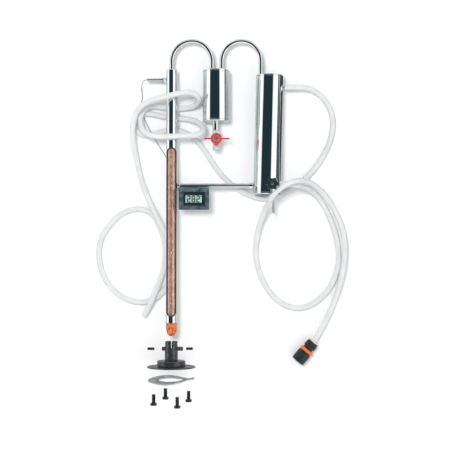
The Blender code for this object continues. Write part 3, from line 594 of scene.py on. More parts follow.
DRAIN_ROUTE = [
    (150.1, 287.4, 29.6), (164, 287.5, 29), (186, 288, 24), (203, 284, 16), (220, 274, 9),
    (233, 260, 6), (243, 242, 6), (247, 221, 6), (247, 200, 6), (241, 174, 6), (230, 151, 6),
    (217, 128, 6), (201, 109, 6), (186, 93, 6), (169, 79, 6), (147, 67, 6), (125, 57, 6),
    (101, 51, 6), (78, 56, 6), (56, 65, 6), (37, 77, 6), (19, 92, 6), (1, 111, 6),
    (-14, 135, 6), (-29, 158, 6), (-45, 178, 6), (-64, 193, 6), (-85, 199, 6), (-108, 199, 6),
    (-130, 193, 6), (-149, 187, 6), (-167, 190, 6), (-179, 204, 6), (-177, 221, 6),
    (-166, 234, 6), (-147, 235, 6), (-124, 230, 6), (-102, 225, 6), (-76, 224, 8),
    (-52, 221, 14), (-36, 211, 26), (-28, 200, 40), (-31, 190, 51), (-45, 183, 58),
    (-64, 183, 58), (-80, 183, 55), (-97, 182, 53), (-120, 181, 52), (-141, 184, 49),
    (-156, 193, 42), (-163, 208, 34), (-164, 227, 24), (-157, 243, 14), (-141, 252, 7),
    (-121, 248, 6), (-100, 245, 6), (-76, 245, 7), (-55, 247, 15), (-42, 253, 28),
    (-38, 260, 42), (-42, 268, 54), (-54, 273, 60), (-72, 274, 60), (-95, 268, 56),
    (-120, 263, 54), (-142, 257, 51), (-161, 246, 48), (-174, 229, 41), (-180, 205, 33),
    (-180, 177, 22), (-175, 147, 11), (-168, 111, 6), (-157, 73, 9), (-141, 37, 17),
    (-128, 12, 20), (-115, -12, 20), (-102, -42, 18), (-95, -74, 11), (-98, -106, 6),
    (-107, -134, 6), (-122, -154, 6), (-144, -167, 6), (-166, -170, 6), (-188, -166, 6),
    (-209, -156, 6), (-229, -138, 6), (-244, -115, 6), (-253, -85, 6), (-255, -57, 6),
    (-249, -30, 6), (-236, -9, 6), (-218, 12, 6), (-196, 26, 6), (-175, 32, 6), (-154, 29, 6),
    (-137, 18, 6), (-125, -3, 6), (-116, -27, 6), (-111, -55, 6), (-112, -83, 6),
    (-118, -108, 8), (-126, -131, 16), (-135, -152, 21), (-143, -171, 19), (-151, -187, 11),
    (-157, -198, 6)]
WIRE_ROUTE = [
    (-149.8, 303.5, 29), (-154, 303.3, 28.4), (-159, 300.4, 25), (-162.5, 291.6, 17),
    (-162.5, 281, 9), (-160.5, 272, 5), (-162, 262, 3), (-167.5, 250, 4), (-168, 241, 10),
    (-163, 234, 14.2), (-157, 224, 14.2), (-149, 208, 13.6), (-143.5, 196, 13.8),
    (-137, 185, 14), (-130, 173, 9), (-122.5, 161, 3), (-114, 148, 1), (-106, 134, 1.5),
    (-98.5, 118, 3), (-92, 101, 7), (-86.5, 86, 13), (-83.8, 75, 20), (-83.4, 69.6, 30),
    (-83.4, 69.6, 40), (-83, 70.1, 47), (-81.9, 70.2, 49.4)]
CONNECTOR_START = Vector((204.2, -253.2, 14.8))
CONNECTOR_DIRECTION = Vector((-0.643, -0.766, 0.0)).normalized()


def make_hose(name, route, onto_barb, into_fitting):
    """A pushed-on length of hose: it starts over its barb and may end inside a fitting."""
    path = smooth_path(route, 4)
    leaving = (path[1] - path[0]).normalized()
    path.insert(0, path[0] - leaving * onto_barb)
    if into_fitting:
        path.append(path[-1] + (path[-1] - path[-2]).normalized() * into_fitting)
    mesh = tube(name, path, HOSE_RADIUS, sides=32, bore=HOSE_BORE)
    hose = piece(mesh, "clear_hose", replaces=(name.replace("_tubing", ""),), within=BENCH)


def make_wire():
    """The thermometer's lead, from the sensor well to where it goes behind the column."""
    path = smooth_path(WIRE_ROUTE, 2)
    mesh = tube("sensor_wire_lead", path, WIRE_RADIUS, sides=12)
    wire = piece(mesh, "grey_wire", replaces=("sensor_wire",), within=BENCH)


# ---------------------------------------------------------------- column, and shared sizes
COLUMN_WALL, COLUMN_LENGTH = 1.0, 532.0
WINDOW_LOW, WINDOW_HIGH, WINDOW_WIDTH = 12.5, 368.5, 21.2
TRIM_RADIUS, TRIM_LIE = 1.1, COLUMN_RADIUS - 0.92
COLUMN = {"along": UP_COLUMN}
PIPE_RADIUS, BEND_TOP = 5.0, 594.8
BEND_FEET = (0.0, 85.0, 106.0, 188.5)
CHAMBER_X, CHAMBER_RADIUS, CHAMBER_BOTTOM, CHAMBER_TOP = 94.0, 28.5, 423.0, 533.0
CONDENSER_RADIUS, CONDENSER_LENGTH = 28.7, 253.2
CAP_DEPTH, SHEET = 4.0, 1.0
CHAMBER_PIPE_FOOT, CONDENSER_PIPE_FOOT, CONDENSER_WELD = CHAMBER_TOP - 4, 518, 522.2
BAR_Y, WELL_Y, NOZZLE_Y = 288.0, 512.6, 496.5


def window_half_width(height):
    """Half the width of the round-ended window at a height on the column."""
    radius = WINDOW_WIDTH / 2
    depth = min(height - WINDOW_LOW, WINDOW_HIGH - height)
    if depth <= 0:
        return 0.0
    return radius if depth >= radius else sqrt(radius ** 2 - (radius - depth) ** 2)


def make_column_tube():
    """The bright tube, open where the window lets the packing be seen."""
    steps, bits, radius = 128, 12, WINDOW_WIDTH / 2
    arc = [radius * (1 - cos(pi / 2 * i / bits)) for i in range(bits + 1)]
    heights = [0.0, *(WINDOW_LOW + a for a in arc), *(WINDOW_HIGH - a for a in reversed(arc)),
               COLUMN_LENGTH]
    walls = (COLUMN_RADIUS, COLUMN_RADIUS - COLUMN_WALL)
    verts, faces, rows = [], [], []
    for height in heights:
        half = window_half_width(height)
        row = []
        for wall in walls:
            gap = asin(min(half / wall, 1.0))
            row.append(range(len(verts), len(verts) + steps + 1))
            for i in range(steps + 1):
                angle = -pi / 2 + gap + (tau - 2 * gap) * i / steps
                verts.append((*polar(wall, angle), height))
        rows.append(row)
    for low, high in zip(rows, rows[1:]):
        for i in range(steps):
            faces.append((low[0][i], low[0][i + 1], high[0][i + 1], high[0][i]))
            faces.append((low[1][i + 1], low[1][i], high[1][i], high[1][i + 1]))
        height = (verts[low[0][0]][2] + verts[high[0][0]][2]) / 2
        if window_half_width(height) > 0:
            faces.append((low[0][0], high[0][0], high[1][0], low[1][0]))
            faces.append((low[1][-1], high[1][-1], high[0][-1], low[0][-1]))
    for outer, inner in (rows[0], rows[-1]):
        faces.extend((outer[i], outer[i + 1], inner[i + 1], inner[i]) for i in range(steps))
    piece(shaped("column_steel_tube", verts, faces), "polished_steel",
          replaces=("column_tube",), **COLUMN)


def make_window_trim():
    """A soft black beading round the window, bent to the tube."""
    radius, bits = WINDOW_WIDTH / 2 - TRIM_RADIUS, 24
    path = []
    for centre, turn in ((WINDOW_HIGH - WINDOW_WIDTH / 2, 0.0),
                         (WINDOW_LOW + WINDOW_WIDTH / 2, pi)):
        for i in range(bits + 1):
            angle = turn + pi * i / bits
            x = radius * cos(angle)
            path.append((x, centre + radius * sin(angle), sqrt(TRIM_LIE ** 2 - x ** 2)))
    piece(tube("window_beading", path, TRIM_RADIUS, sides=16, closed=True), "black_trim",
          replaces=("window_trim",))


PACKING_LOW, PACKING_HIGH, PACKING_END = 12.0, 371.0, 494.0


def make_packing():
    """A crumpled roll of copper mesh; its rows are fine only where the window shows them."""
    radius, row_height = 9.6, 1.5
    lumps, rise, finer, crumple, fine_crumple = 2.2, 0.22, 3.1, 0.22, 0.08

    def crumpled(r, h, angle):
        where = Vector((*polar(lumps, angle), h * rise))
        return r + crumple * noise.noise(where) + fine_crumple * noise.noise(where * finer), h

    rows = int((PACKING_HIGH - PACKING_LOW) / row_height)
    outline = [(radius, PACKING_LOW + row_height * i) for i in range(rows)]
    roll = [(0, PACKING_LOW), *outline, (radius, PACKING_END), (0, PACKING_END)]
    turned("copper_mesh_roll", roll, "copper_mesh", "column_packing", COLUMN, steps=72,
           press=crumpled, sharp=SOFT)


def make_stitches():
    """The packing's knitted rows of wire, behind the window only."""
    stitch, course, strand, bits = 3.0, 2.3, 0.12, 14
    lie, span = 9.85, radians(68)
    lean, swing, weave, wander, bulge = 0.27, 0.8, 0.10, 0.8, 0.15
    row_drift, loop_drift = 0.31, 0.045
    loops = int(2 * span * lie / stitch)
    verts, faces = [], []
    for row in range(int((PACKING_HIGH - PACKING_LOW) / course)):
        path = []
        for i in range(loops * bits + 1):
            turn = tau * i / bits
            drift = noise.noise(Vector((row * row_drift, i * loop_drift, 0.5)))
            run = (i / bits - loops / 2) * stitch + lean * stitch * sin(2 * turn)
            height = PACKING_LOW + row * course + swing * course * cos(turn) + wander * drift
            r = lie + weave * cos(2 * turn) + bulge * drift
            path.append((r * sin(run / lie), height, r * cos(run / lie)))
        tube("", path, strand, sides=4, verts=verts, faces=faces)
    piece(shaped("copper_stitches", verts, faces, SOFT), "copper_mesh")


def make_plug():
    """The bright end of the packing, bulging out of the column's open end, with loose strands."""
    profile = [(10.2, 10.0), (10.4, 0.5), (11.4, -1.5), (11.2, -8), (10.4, -16), (8.6, -22.5),
               (5.2, -27.0), (0, -28.2)]
    lumps, rise, finer, swell, fine_swell = 0.28, 0.26, 2.7, 0.11, 0.05
    widest = COLUMN_RADIUS - 0.3
    strands, bits, strand, tip, rim = 110, 14, 0.19, -27.0, -1.0

    def crumpled(r, h, angle):
        where = Vector((cos(angle) * r * lumps, sin(angle) * r * lumps, h * rise))
        size = 1 + swell * noise.noise(where) + fine_swell * noise.noise(where * finer)
        return min(r * size, widest), h

    body = rounded(profile, 6.0, bits=6)
    turned("packing_plug_mesh", body, "bright_mesh", "packing_plug", COLUMN, steps=96,
           press=crumpled, sharp=SOFT)

    def radius_at(height):
        for (r0, h0), (r1, h1) in zip(body, body[1:]):
            if h1 <= height <= h0:
                return r0 + (r1 - r0) * (height - h0) / min(h1 - h0, -TINY)
        return 1.0

    chance = random.Random(7)
    verts, faces = [], []
    for _ in range(strands):
        angle, height = chance.uniform(0, tau), chance.uniform(tip, rim)
        turn, climb = chance.uniform(-0.16, 0.16), chance.uniform(-0.5, 0.5)
        bend = chance.uniform(0.2, 0.5)
        path = []
        for i in range(bits):
            angle += turn + 0.1 * sin(i * bend * 2)
            height = min(rim + 0.5, max(tip - 0.6, height + climb + 0.5 * cos(i * bend * 3)))
            r = crumpled(radius_at(height), height, angle)[0] + 0.08 + 0.1 * sin(i * 1.9)
            path.append((*polar(r, angle), height))
        tube("", path, strand, sides=4, verts=verts, faces=faces)
    piece(shaped("packing_plug_strands", verts, faces, SOFT), "bright_mesh", **COLUMN)


def make_welds():
    """Small rippled weld beads where the pipes enter the caps."""
    bead, ripple, ripples, steps = 0.8, 0.10, 22, 96
    reach = PIPE_RADIUS + 0.25

    def rippled(share):
        return bead * (1 + ripple * sin(share * tau * ripples))

    verts, faces = [], []
    heights = (COLUMN_LENGTH + 2.2, CHAMBER_TOP, CHAMBER_TOP, CONDENSER_WELD)
    for x, height in zip(BEND_FEET, heights):
        path = [(x + reach * cos(tau * i / steps), height,
                 reach * sin(tau * i / steps)) for i in range(steps)]
        tube("", path, rippled, sides=10, closed=True, verts=verts, faces=faces)
    piece(shaped("weld_beads", verts, faces, SOFT), "satin_steel")


def make_column_fittings():
    """The column's top cap, and the sensor well that stands out of its left side."""
    top = COLUMN_LENGTH
    cap = [(0, top - 1.2), (11.0, top - 1.2), (12.0, top + 0.1), (12.0, top + 1.0),
           (10.8, top + 2.2), (0, top + 2.3)]
    turned("column_cap_disc", cap, "polished_steel", "column_top_cap", COLUMN, edge=0.8)
    well = [(0, 3.0), (3.2, 3.0), (3.2, 17.4), (3.9, 18), (3.9, 26), (3.3, 27), (3.3, 46),
            (3.0, 46.4), (3.0, 47.2), (3.3, 47.6), (3.3, 52.0), (1.8, 52.4), (1.4, 50.0), (0, 50.0)]
    place = {"at": (0, WELL_Y, 0), "along": (-1, 0, 0)}
    turned("sensor_well_rod", well, "satin_steel", "sensor_well", place, edge=0.3)

    def six_sided(r, h, angle):
        return hexagon(r, angle), h

    nut = [(3.6, 12.4), (5.4, 12.4), (6.2, 13.0), (6.2, 16.0), (5.4, 16.6), (3.6, 16.6)]
    turned("sensor_collar_nut", nut, "polished_steel", "sensor_collar", place,
           closed=True, press=six_sided)


# ---------------------------------------------------------------- vapour bends
def make_bend(name, replaced, left, right, left_foot, right_foot):
    """A pipe bent to a half circle over two straight legs that reach down into the caps."""
    radius, bits = (right - left) / 2, 64
    centre = (left + right) / 2
    spring = BEND_TOP - radius
    arc = [(centre - radius * cos(pi * i / bits),
            spring + radius * sin(pi * i / bits), 0) for i in range(bits + 1)]
    path = [(left, left_foot, 0), *arc, (right, right_foot, 0)]
    piece(tube(name, path, PIPE_RADIUS, sides=64), "polished_steel",
          replaces=(replaced,))


# ---------------------------------------------------------------- chamber and condenser
def make_can(name, radius, low, high, **place):
    """A bright can: a drawn shell with a pressed cap at each end, meeting in fine seams."""
    seam, corner, rim, dish = 0.15, 1.4, 5, 9
    low_seam, high_seam = low + CAP_DEPTH, high - CAP_DEPTH
    wall = [(radius, low_seam + seam), (radius, high_seam - seam),
            (radius - SHEET, high_seam - seam), (radius - SHEET, low_seam + seam)]
    turned(name + "_shell_sheet", wall, "polished_steel", name + "_shell", place,
           steps=160, closed=True, edge=0.25)
    for part, replaced, face, inner in (("_cap_upper", "_top_cap", high, high_seam + seam),
                                        ("_cap_lower", "_bottom_cap", low, low_seam - seam)):
        side = 1 if face > inner else -1
        outline = [(0, face - 0.4 * side), (radius - dish, face - 0.4 * side), (radius - rim, face),
                   (radius - corner, face), (radius, face - corner * side), (radius, inner),
                   (radius - SHEET, inner), (radius - SHEET - 1.6, face - 1.6 * side),
                   (0, face - 1.6 * side)]
        turned(name + part, outline, "polished_steel", name + replaced, place,
               steps=160, edge=0.7)


def make_neck():
    """The short tube under the chamber that the tap is pushed onto."""
    neck = [(0, 427), (6.9, 427), (6.9, 422.4), (6.5, 421.6), (6.5, 405.6), (5.9, 405), (0, 405)]
    turned("chamber_neck", neck, "polished_steel", "chamber_drain_neck",
           {"at": (92.8, 0, 0), "along": UP_COLUMN}, edge=0.4)


def make_condenser_ports():
    """The barbed nozzle for the drain hose, and the open spout that the product leaves by."""
    nozzle = [(5.6, 27.2), (5.6, 29.4), (4.0, 29.8), (4.0, 31.2), (4.35, 32.0), (4.05, 34.0),
              (4.35, 34.2), (4.05, 36.6), (4.35, 36.8), (3.7, 39.6), (2.8, 39.8), (2.8, 27.2)]
    turned("outlet_nozzle_tube", nozzle, "satin_steel", "condenser_outlet_nozzle",
           {"at": (206.5, NOZZLE_Y, 0), "along": ACROSS}, closed=True)
    spout = [(2.75, 229.9), (2.75, 268.6), (3.9, 269.2), (3.9, 272.0), (1.85, 272.0), (1.85, 229.9)]
    turned("spout_tube", spout, "polished_steel", "product_spout",
           {"at": (214.4, 0, 0), "along": UP_COLUMN}, steps=64, closed=True, edge=0.2)


# ---------------------------------------------------------------- cross bar and thermometer
CASE_LEFT, CASE_RIGHT, CASE_LOW, CASE_HIGH, CASE_FRONT = 15.8, 79.2, 236.8, 282.8, 20.5
GLASS_LOW, GLASS_HIGH, GLASS_LEFT, GLASS_RIGHT = 250.8, 267.0, 29.6, 64.5
BEZEL_WIDTH, BEZEL_HEIGHT, BEZEL_PLAY, BEZEL_CENTRE = 45.0, 29.0, 0.8, (48.3, 259.5)
SEGMENTS = {"2": "abged", "8": "abcdefg"}


def make_cross_bar():
    """The bar that joins the column to the condenser, with a collar at each end."""
    place = {"at": (0, BAR_Y, 0), "along": ACROSS}
    turned("cross_bar_rod", rod(PIPE_RADIUS, 13.0, 171.0), "satin_steel", "cross_bar",
           place, steps=64)
    for side, low, high in (("left", 12.4, 18.5), ("right", 163.0, 172.0)):
        outline = [(4.9, low), (6.6, low), (6.6, high - 2.4), (6.1, high - 2.0), (6.1, high - 1.4),
                   (6.5, high - 1.0), (6.4, high), (4.9, high)]
        turned("bar_collar_" + side, outline, "polished_steel", "bar_fitting_" + side,
               place, closed=True, edge=0.4)


def bar_of_digit(verts, faces, centre, reach, slim, upright=False):
    """One bar of a seven-bar digit, as a thin slab with its corners cut."""
    x, y, z = centre
    thickness, half = 0.12, slim / 2
    tip, snip = reach / 2 + half / 2, half / 2
    outline = [(-tip, snip), (-tip + snip, half), (tip - snip, half), (tip, snip), (tip, -snip),
               (tip - snip, -half), (-tip + snip, -half), (-tip, -snip)]
    if upright:
        outline = [(-b, a) for a, b in outline]
    first, count = len(verts), len(outline)
    for level in (z, z + thickness):
        verts.extend((x + a, y + b, level) for a, b in outline)
    lower, upper = range(first, first + count), range(first + count, first + 2 * count)
    faces.extend((tuple(lower)[::-1], tuple(upper), *band(lower, upper)))


def make_digits():
    """A reading of 28.2 on the display, in plain seven-bar digits, with a degree mark."""
    wide, tall, slim, gap, level = 5.2, 12.0, 2.9, 0.3, 20.32
    middle = (GLASS_LOW + GLASS_HIGH) / 2
    places = {"a": (0, 1), "b": (0.5, 0.5), "c": (0.5, -0.5), "d": (0, -1), "e": (-0.5, -0.5),
              "f": (-0.5, 0.5), "g": (0, 0)}
    verts, faces = [], []
    for digit, x in (("2", 37.0), ("8", 46.4), ("2", 56.4)):
        for bar in SEGMENTS[digit]:
            across, up = places[bar]
            upright = across != 0
            reach = tall / 2 if upright else wide
            centre = (x + across * wide, middle + up * tall / 2, level)
            bar_of_digit(verts, faces, centre, reach - gap, slim, upright)
    bar_of_digit(verts, faces, (51.4, middle - tall / 2, level), 1.9, 1.8)
    bar_of_digit(verts, faces, (62.1, middle + tall / 2 - 0.6, level), 1.9, 1.6)
    piece(shaped("display_digits", verts, faces), "dark_plastic")


def make_thermometer_front():
    """The case's pressed front, the bezel in it and the window over the display."""
    centre = ((GLASS_LEFT + GLASS_RIGHT) / 2, (GLASS_LOW + GLASS_HIGH) / 2)
    wide, tall = GLASS_RIGHT - GLASS_LEFT, GLASS_HIGH - GLASS_LOW
    bezel = [rectangle(BEZEL_WIDTH, BEZEL_HEIGHT, 2.0, BEZEL_CENTRE), rectangle(wide, tall, 1.0, centre)]
    piece(plate("bezel_frame", bezel, 1.4, 0.4), "dark_plastic",
          replaces=("thermometer_bezel",), at=(0, 0, CASE_FRONT + 0.7))
    piece(block("display_window", (wide - 0.4, tall - 0.4, 0.8), 0.25), "clear_lens",
          replaces=("thermometer_lens",), at=(*centre, CASE_FRONT + 0.75))
    middle = ((CASE_LEFT + CASE_RIGHT) / 2, (CASE_LOW + CASE_HIGH) / 2)
    front = [rectangle(CASE_RIGHT - CASE_LEFT, CASE_HIGH - CASE_LOW, 4.0, middle),
             rectangle(BEZEL_WIDTH + BEZEL_PLAY, BEZEL_HEIGHT + BEZEL_PLAY, 2.2, BEZEL_CENTRE)]
    piece(plate("case_front_frame", front, 1.6, 0.7), "slate_plastic", at=(0, 0, CASE_FRONT - 0.2))


# ---------------------------------------------------------------- drain tap
TAP_X, TAP_Y = 94.2, 386.0


def make_tap():
    """A ball tap with a plug that turns, a winged knob on it and a screw that holds the knob."""
    spot = {"at": (TAP_X, TAP_Y, 0)}
    inline = {"at": (TAP_X, 0, 0), "along": UP_COLUMN}
    outline = [(0, 404.7), (7.2, 404.7), (8.6, 403), (8.6, 396), (7.4, 395), (7.4, 390), (7.4, 374),
               (8.2, 372.6), (8.2, 370.6), (7.3, 370.0), (8.0, 368.4), (7.2, 367.8), (7.8, 366),
               (7.0, 363), (0, 363)]
    body = turned("tap_valve_body", outline, "natural_plastic", "tap_body", inline,
                  edge=0.5)
    barrel = [(0, -9), (10.0, -9), (10.4, -8.4), (10.4, 11.2), (11.0, 11.6), (11.0, 12.5), (0, 12.5)]
    waterway = rod(3.6, 350, 420)
    cut(body, lathe("barrel", barrel, edge=0.4), how="UNION", **spot)
    cut(body, lathe("bore", waterway, steps=48), **inline)
    cut(body, lathe("seat", rod(6.9, -7, 20), steps=64), **spot)
    plug = turned("tap_plug_core", rod(6.6, -6.6, 14.2), "red_plastic", "tap_plug", spot, "tap",
                  edge=0.5)
    cut(plug, lathe("port", waterway, steps=48), **inline)

    knob = [(0, 14.3), (10.6, 14.3), (11.9, 15.6), (12.0, 20.2), (10.6, 21.9), (7.2, 22.3),
            (6.2, 21.4), (0, 21.2)]
    handle = turned("tap_knob", knob, "red_plastic", "tap_handle", spot, "tap", steps=144,
                    edge=0.9, press=fluted(0.35, 18, 10.5, 14.0, 22.0))
    cut(handle, block("wings", (54.0, 3.4, 4.2), 1.2), at=(TAP_X + 1.3, TAP_Y, 18.0), how="UNION")
    pointer = [(0, 14.9), (3.4, 14.9), (3.8, 15.6), (3.8, 19.6), (3.0, 20.6), (0, 20.9)]
    cut(handle, lathe("pointer", pointer, steps=48, edge=0.6),
        at=(TAP_X - 0.6, TAP_Y - 11.5, 0), how="UNION")
    washer = [(2.5, 21.6), (6.0, 21.5), (6.3, 22.3), (5.4, 23.0), (2.9, 22.7), (2.5, 22.2)]
    turned("tap_screw_washer", washer, "satin_steel", "tap_screw", spot, "tap", closed=True,
           edge=0.3)
    head = [(0, 21.2), (2.4, 21.2), (2.4, 22.6), (1.7, 23.1), (0, 23.2)]
    core = turned("tap_screw_head", head, "valve_metal", None, spot, "tap", steps=48, edge=0.3)
    for slot in ((3.6, 0.7, 1.6), (0.7, 3.6, 1.6)):
        cut(core, block("cross", slot, 0.1), at=(TAP_X, TAP_Y, 23.1))


# ---------------------------------------------------------------- cooling water valve
VALVE_X, VALVE_Y, VALVE_Z = 209.8, 289.0, 34.1
VALVE_PORT_X, VALVE_STUB_X, KNOB_LIFT = 200.1, 203.0, 15.3


def make_valve():
    """A small block valve with a barbed outlet, and a stem under a star knob that turns."""
    spot = {"at": (VALVE_X, VALVE_Y, VALVE_Z)}
    knob_spot = {"at": (VALVE_X, VALVE_Y, VALVE_Z + KNOB_LIFT)}

    def flats(r, h, angle):
        return (min(r, hexagon(5.4, angle) + 0.6) if 2.6 < h < 9.0 else r), h

    outline = [(0, 1.0), (4.3, 1.0), (5.3, 2.0), (6.0, 2.5), (6.0, 9.2), (5.3, 9.8), (5.3, 17.0),
               (4.8, 17.6), (5.6, 18.2), (5.6, 21.6), (4.1, 22.4), (4.1, 23.6), (4.5, 24.2),
               (4.1, 26.0), (4.5, 26.3), (4.1, 28.2), (4.5, 28.5), (3.8, 31.6), (0, 31.6)]
    body = turned("valve_block", outline, "valve_metal", "valve_body",
                  {"at": (VALVE_PORT_X, VALVE_Y, VALVE_Z), "along": ACROSS}, edge=0.25, press=flats)
    tower = [(0, -2), (6.2, -2), (6.2, 6.0), (5.2, 6.6), (5.2, 9.5), (0, 9.5)]
    cut(body, lathe("tower", tower, steps=72, edge=0.4), how="UNION", **spot)
    cut(body, lathe("seat", rod(2.9, 0, 20), steps=48), **spot)
    stem = [(0, -0.4), (2.6, -0.4), (2.6, 17.6), (2.2, 18.1), (0, 18.2)]
    turned("valve_stem", stem, "valve_metal", "valve_spindle", spot, "valve", steps=64, edge=0.3)
    nipple = [(3.2, 25.5), (3.2, 27.6), (4.8, 28.0), (4.8, 28.8), (3.2, 28.9), (2.2, 28.9), (2.2, 25.5)]
    turned("valve_stub", nipple, "polished_steel", "valve_nipple",
           {"at": (VALVE_STUB_X, VALVE_Y, 0)}, closed=True)
    lobes, points, mean, swing = 6, 144, 11.8, 1.4
    star = []
    for i in range(points):
        angle = tau * i / points
        star.append(polar(mean + swing * cos(lobes * angle), angle))
    knob = piece(plate("valve_star_knob", [star, circle(2.9, 48)], 10.0, 1.6), "dark_plastic",
                 "valve", ("valve_knob",), **knob_spot)
    dish = [(0, 4.2), (6.8, 4.2), (8.4, 5.6), (0, 5.6)]
    cut(knob, lathe("dish", dish, steps=72, edge=0.5), **knob_spot)
    cap = [(0, 18.4), (2.2, 18.4), (3.6, 19.0), (3.9, 19.6), (3.0, 20.6), (0, 20.9)]
    turned("valve_knob_screw", cap, "valve_metal", None, spot, "valve", steps=48, edge=0.4)


# ---------------------------------------------------------------- mounting adapter
SOCKET_BORE, SOCKET_TOP, SOCKET_STEP, SOCKET_BOTTOM, CLAMP_Y = 12.3, -38.9, -56.3, -79.0, -54.3
FLANGE_RADIUS, FLANGE_TOP, FLANGE_BOTTOM = 50.5, -91.0, -93.7
BOLT_CIRCLE, BOLT_ANGLES = 38.6, (-21.7, 68.3, 158.3, 248.3)
GASKET_Y, GASKET_OUTER, GASKET_INNER, GASKET_THICKNESS = -120.0, 49.0, 27.5, 2.5
SCREW_STAGGER, BOLT_HOLE, BOSS_BORE = 0.12, 4.5, 3.3
BOLT_PLACES = [polar(BOLT_CIRCLE, radians(angle)) for angle in BOLT_ANGLES]


def threaded(name, before, after, radius, low, high, pitch):
    """A turned screw: the outline's points before the thread, a real helix, and those after.

    The thread runs from one height to the other, in the outline's own order."""
    depth, rows_a_turn = pitch * 0.45, 8
    count = int(abs(high - low) / pitch * rows_a_turn)

    def helix(r, h, angle):
        if min(low, high) <= h <= max(low, high) and r > radius - 0.05:
            turn = (h / pitch - angle / tau) % 1.0
            fade = min(1.0, (h - min(low, high)) / pitch, (max(low, high) - h) / pitch)
            return r - depth * fade * (1 - abs(2 * turn - 1)), h
        return r, h

    shank = [(radius, low + (high - low) * i / count) for i in range(count + 1)]
    return lathe(name, [*before, *shank, *after], steps=64, press=helix, sharp=60)


def hexagon_hole(radius, low, high):
    """The cutter for a key's hexagon socket."""
    return lathe("hexagon", rod(radius, low, high), steps=6)


def make_adapter():
    """A slit clamp socket with two threaded bosses, on a ring and a bolted flange."""
    across = {"at": (0, CLAMP_Y, 0), "along": ACROSS}
    tube_outline = [(13.0, SOCKET_TOP), (13.0, SOCKET_STEP), (13.7, SOCKET_STEP - 0.6),
                    (13.7, SOCKET_BOTTOM), (SOCKET_BORE, SOCKET_BOTTOM), (SOCKET_BORE, SOCKET_TOP)]
    socket = turned("adapter_socket", tube_outline, "gunmetal", "socket_tube", COLUMN, "adapter",
                    closed=True, edge=0.35)
    cut(socket, block("slit", (2.4, 20.0, 40.0), 0.1), at=(0, SOCKET_STEP + 11.5, 0))
    cut(socket, lathe("clamp_hole", rod(BOSS_BORE, -25, 25), steps=48), **across)
    boss = [(BOSS_BORE, 12.6), (5.2, 12.6), (4.2, 14.2), (4.2, 19.1), (3.8, 19.7), (BOSS_BORE, 19.7)]
    for side, way in (("left", -1), ("right", 1)):
        turned("clamp_boss_" + side, boss, "gunmetal", side + "_boss",
               {"at": (0, CLAMP_Y, 0), "along": (way, 0, 0)}, "adapter", closed=True, edge=0.4)
    piece(plate("clamp_nut", [circle(4.9, 6), circle(BOSS_BORE, 48)], 4.0, 0.3), "gunmetal",
          "adapter", ("lock_nut",), at=(22.2, CLAMP_Y, 0), along=ACROSS)
    collar = [(29.0, FLANGE_TOP + 0.2), (29.8, FLANGE_TOP + 1.2), (29.8, SOCKET_BOTTOM - 1.6),
              (28.6, SOCKET_BOTTOM - 0.3), (15.4, SOCKET_BOTTOM - 0.3), (14.4, SOCKET_BOTTOM - 0.9),
              (SOCKET_BORE, SOCKET_BOTTOM - 0.9), (SOCKET_BORE, FLANGE_TOP + 0.2)]
    turned("adapter_collar", collar, "gunmetal", "boss_ring", COLUMN, "adapter", steps=144,
           closed=True, edge=0.5)
    outlines = [circle(FLANGE_RADIUS, 160), circle(SOCKET_BORE, 96)]
    outlines += [circle(BOLT_HOLE, 40, place) for place in BOLT_PLACES]
    piece(plate("flange_plate", outlines, FLANGE_TOP - FLANGE_BOTTOM, 0.5), "gunmetal", "adapter",
          ("flange_disc",), at=(0, (FLANGE_TOP + FLANGE_BOTTOM) / 2, 0), along=DOWN_COLUMN)


def twist(x, z):
    """How far the resting gasket stands off its plane, x across the column and z off the table.

    The slope along z turns over from one side to the other, and the far end curls away."""
    even, turned_over, turn_from, turn_over = 0.115, 0.215, 34, 44
    curl, curl_from, curl_over, flat_middle = 4.0, 10, 39, 0.1
    spread = sqrt(min(1.0, max(0.0, (turn_from - x) / turn_over)))
    slope = even - turned_over * spread
    lift = curl * max(0.0, (x - curl_from) / curl_over) ** 2
    return slope * z * (flat_middle + (1 - flat_middle) * abs(z) / GASKET_OUTER) + lift


def make_gasket():
    """A soft ring that has taken a twist."""
    half, bits = GASKET_THICKNESS / 2, 10
    across = [GASKET_INNER + (GASKET_OUTER - GASKET_INNER) * i / bits for i in range(bits + 1)]
    outline = [(r, half) for r in across] + [(r, -half) for r in reversed(across)]
    ring = turned("soft_gasket", outline, "grey_silicone", "gasket",
                  {"at": (0, GASKET_Y, 0), "along": DOWN_COLUMN}, "gasket", steps=144, closed=True)
    for x, z in BOLT_PLACES:
        cut(ring, lathe("hole", rod(BOLT_HOLE, -4, 4), steps=32), at=(x, GASKET_Y, z),
            along=DOWN_COLUMN)
    for vertex in ring.data.vertices:
        vertex.co.z -= twist(vertex.co.x / MM, vertex.co.y / MM) * MM
    ring.data.update()
    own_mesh(ring)


def make_clamp_screws():
    """Two headless set screws, each with a hexagon socket in its outer end."""
    radius, pitch = 3.0, 1.0
    for side, way, near, far in (("left", -1, 35.5, 50.0), ("right", 1, 30.7, 45.2)):
        place = {"at": (0, CLAMP_Y, 0), "along": (way, 0, 0)}
        mesh = threaded("set_screw_" + side, [(0, near), (1.9, near), (2.9, near + 0.8)],
                        [(2.9, far - 0.5), (2.4, far), (0, far)], radius, near + 0.9, far - 0.6, pitch)
        screw = piece(mesh, "black_screw", "clamp_" + side, ("clamp_screw_" + side,), **place)
        cut(screw, hexagon_hole(1.7, far - 3.0, far + 2), **place)


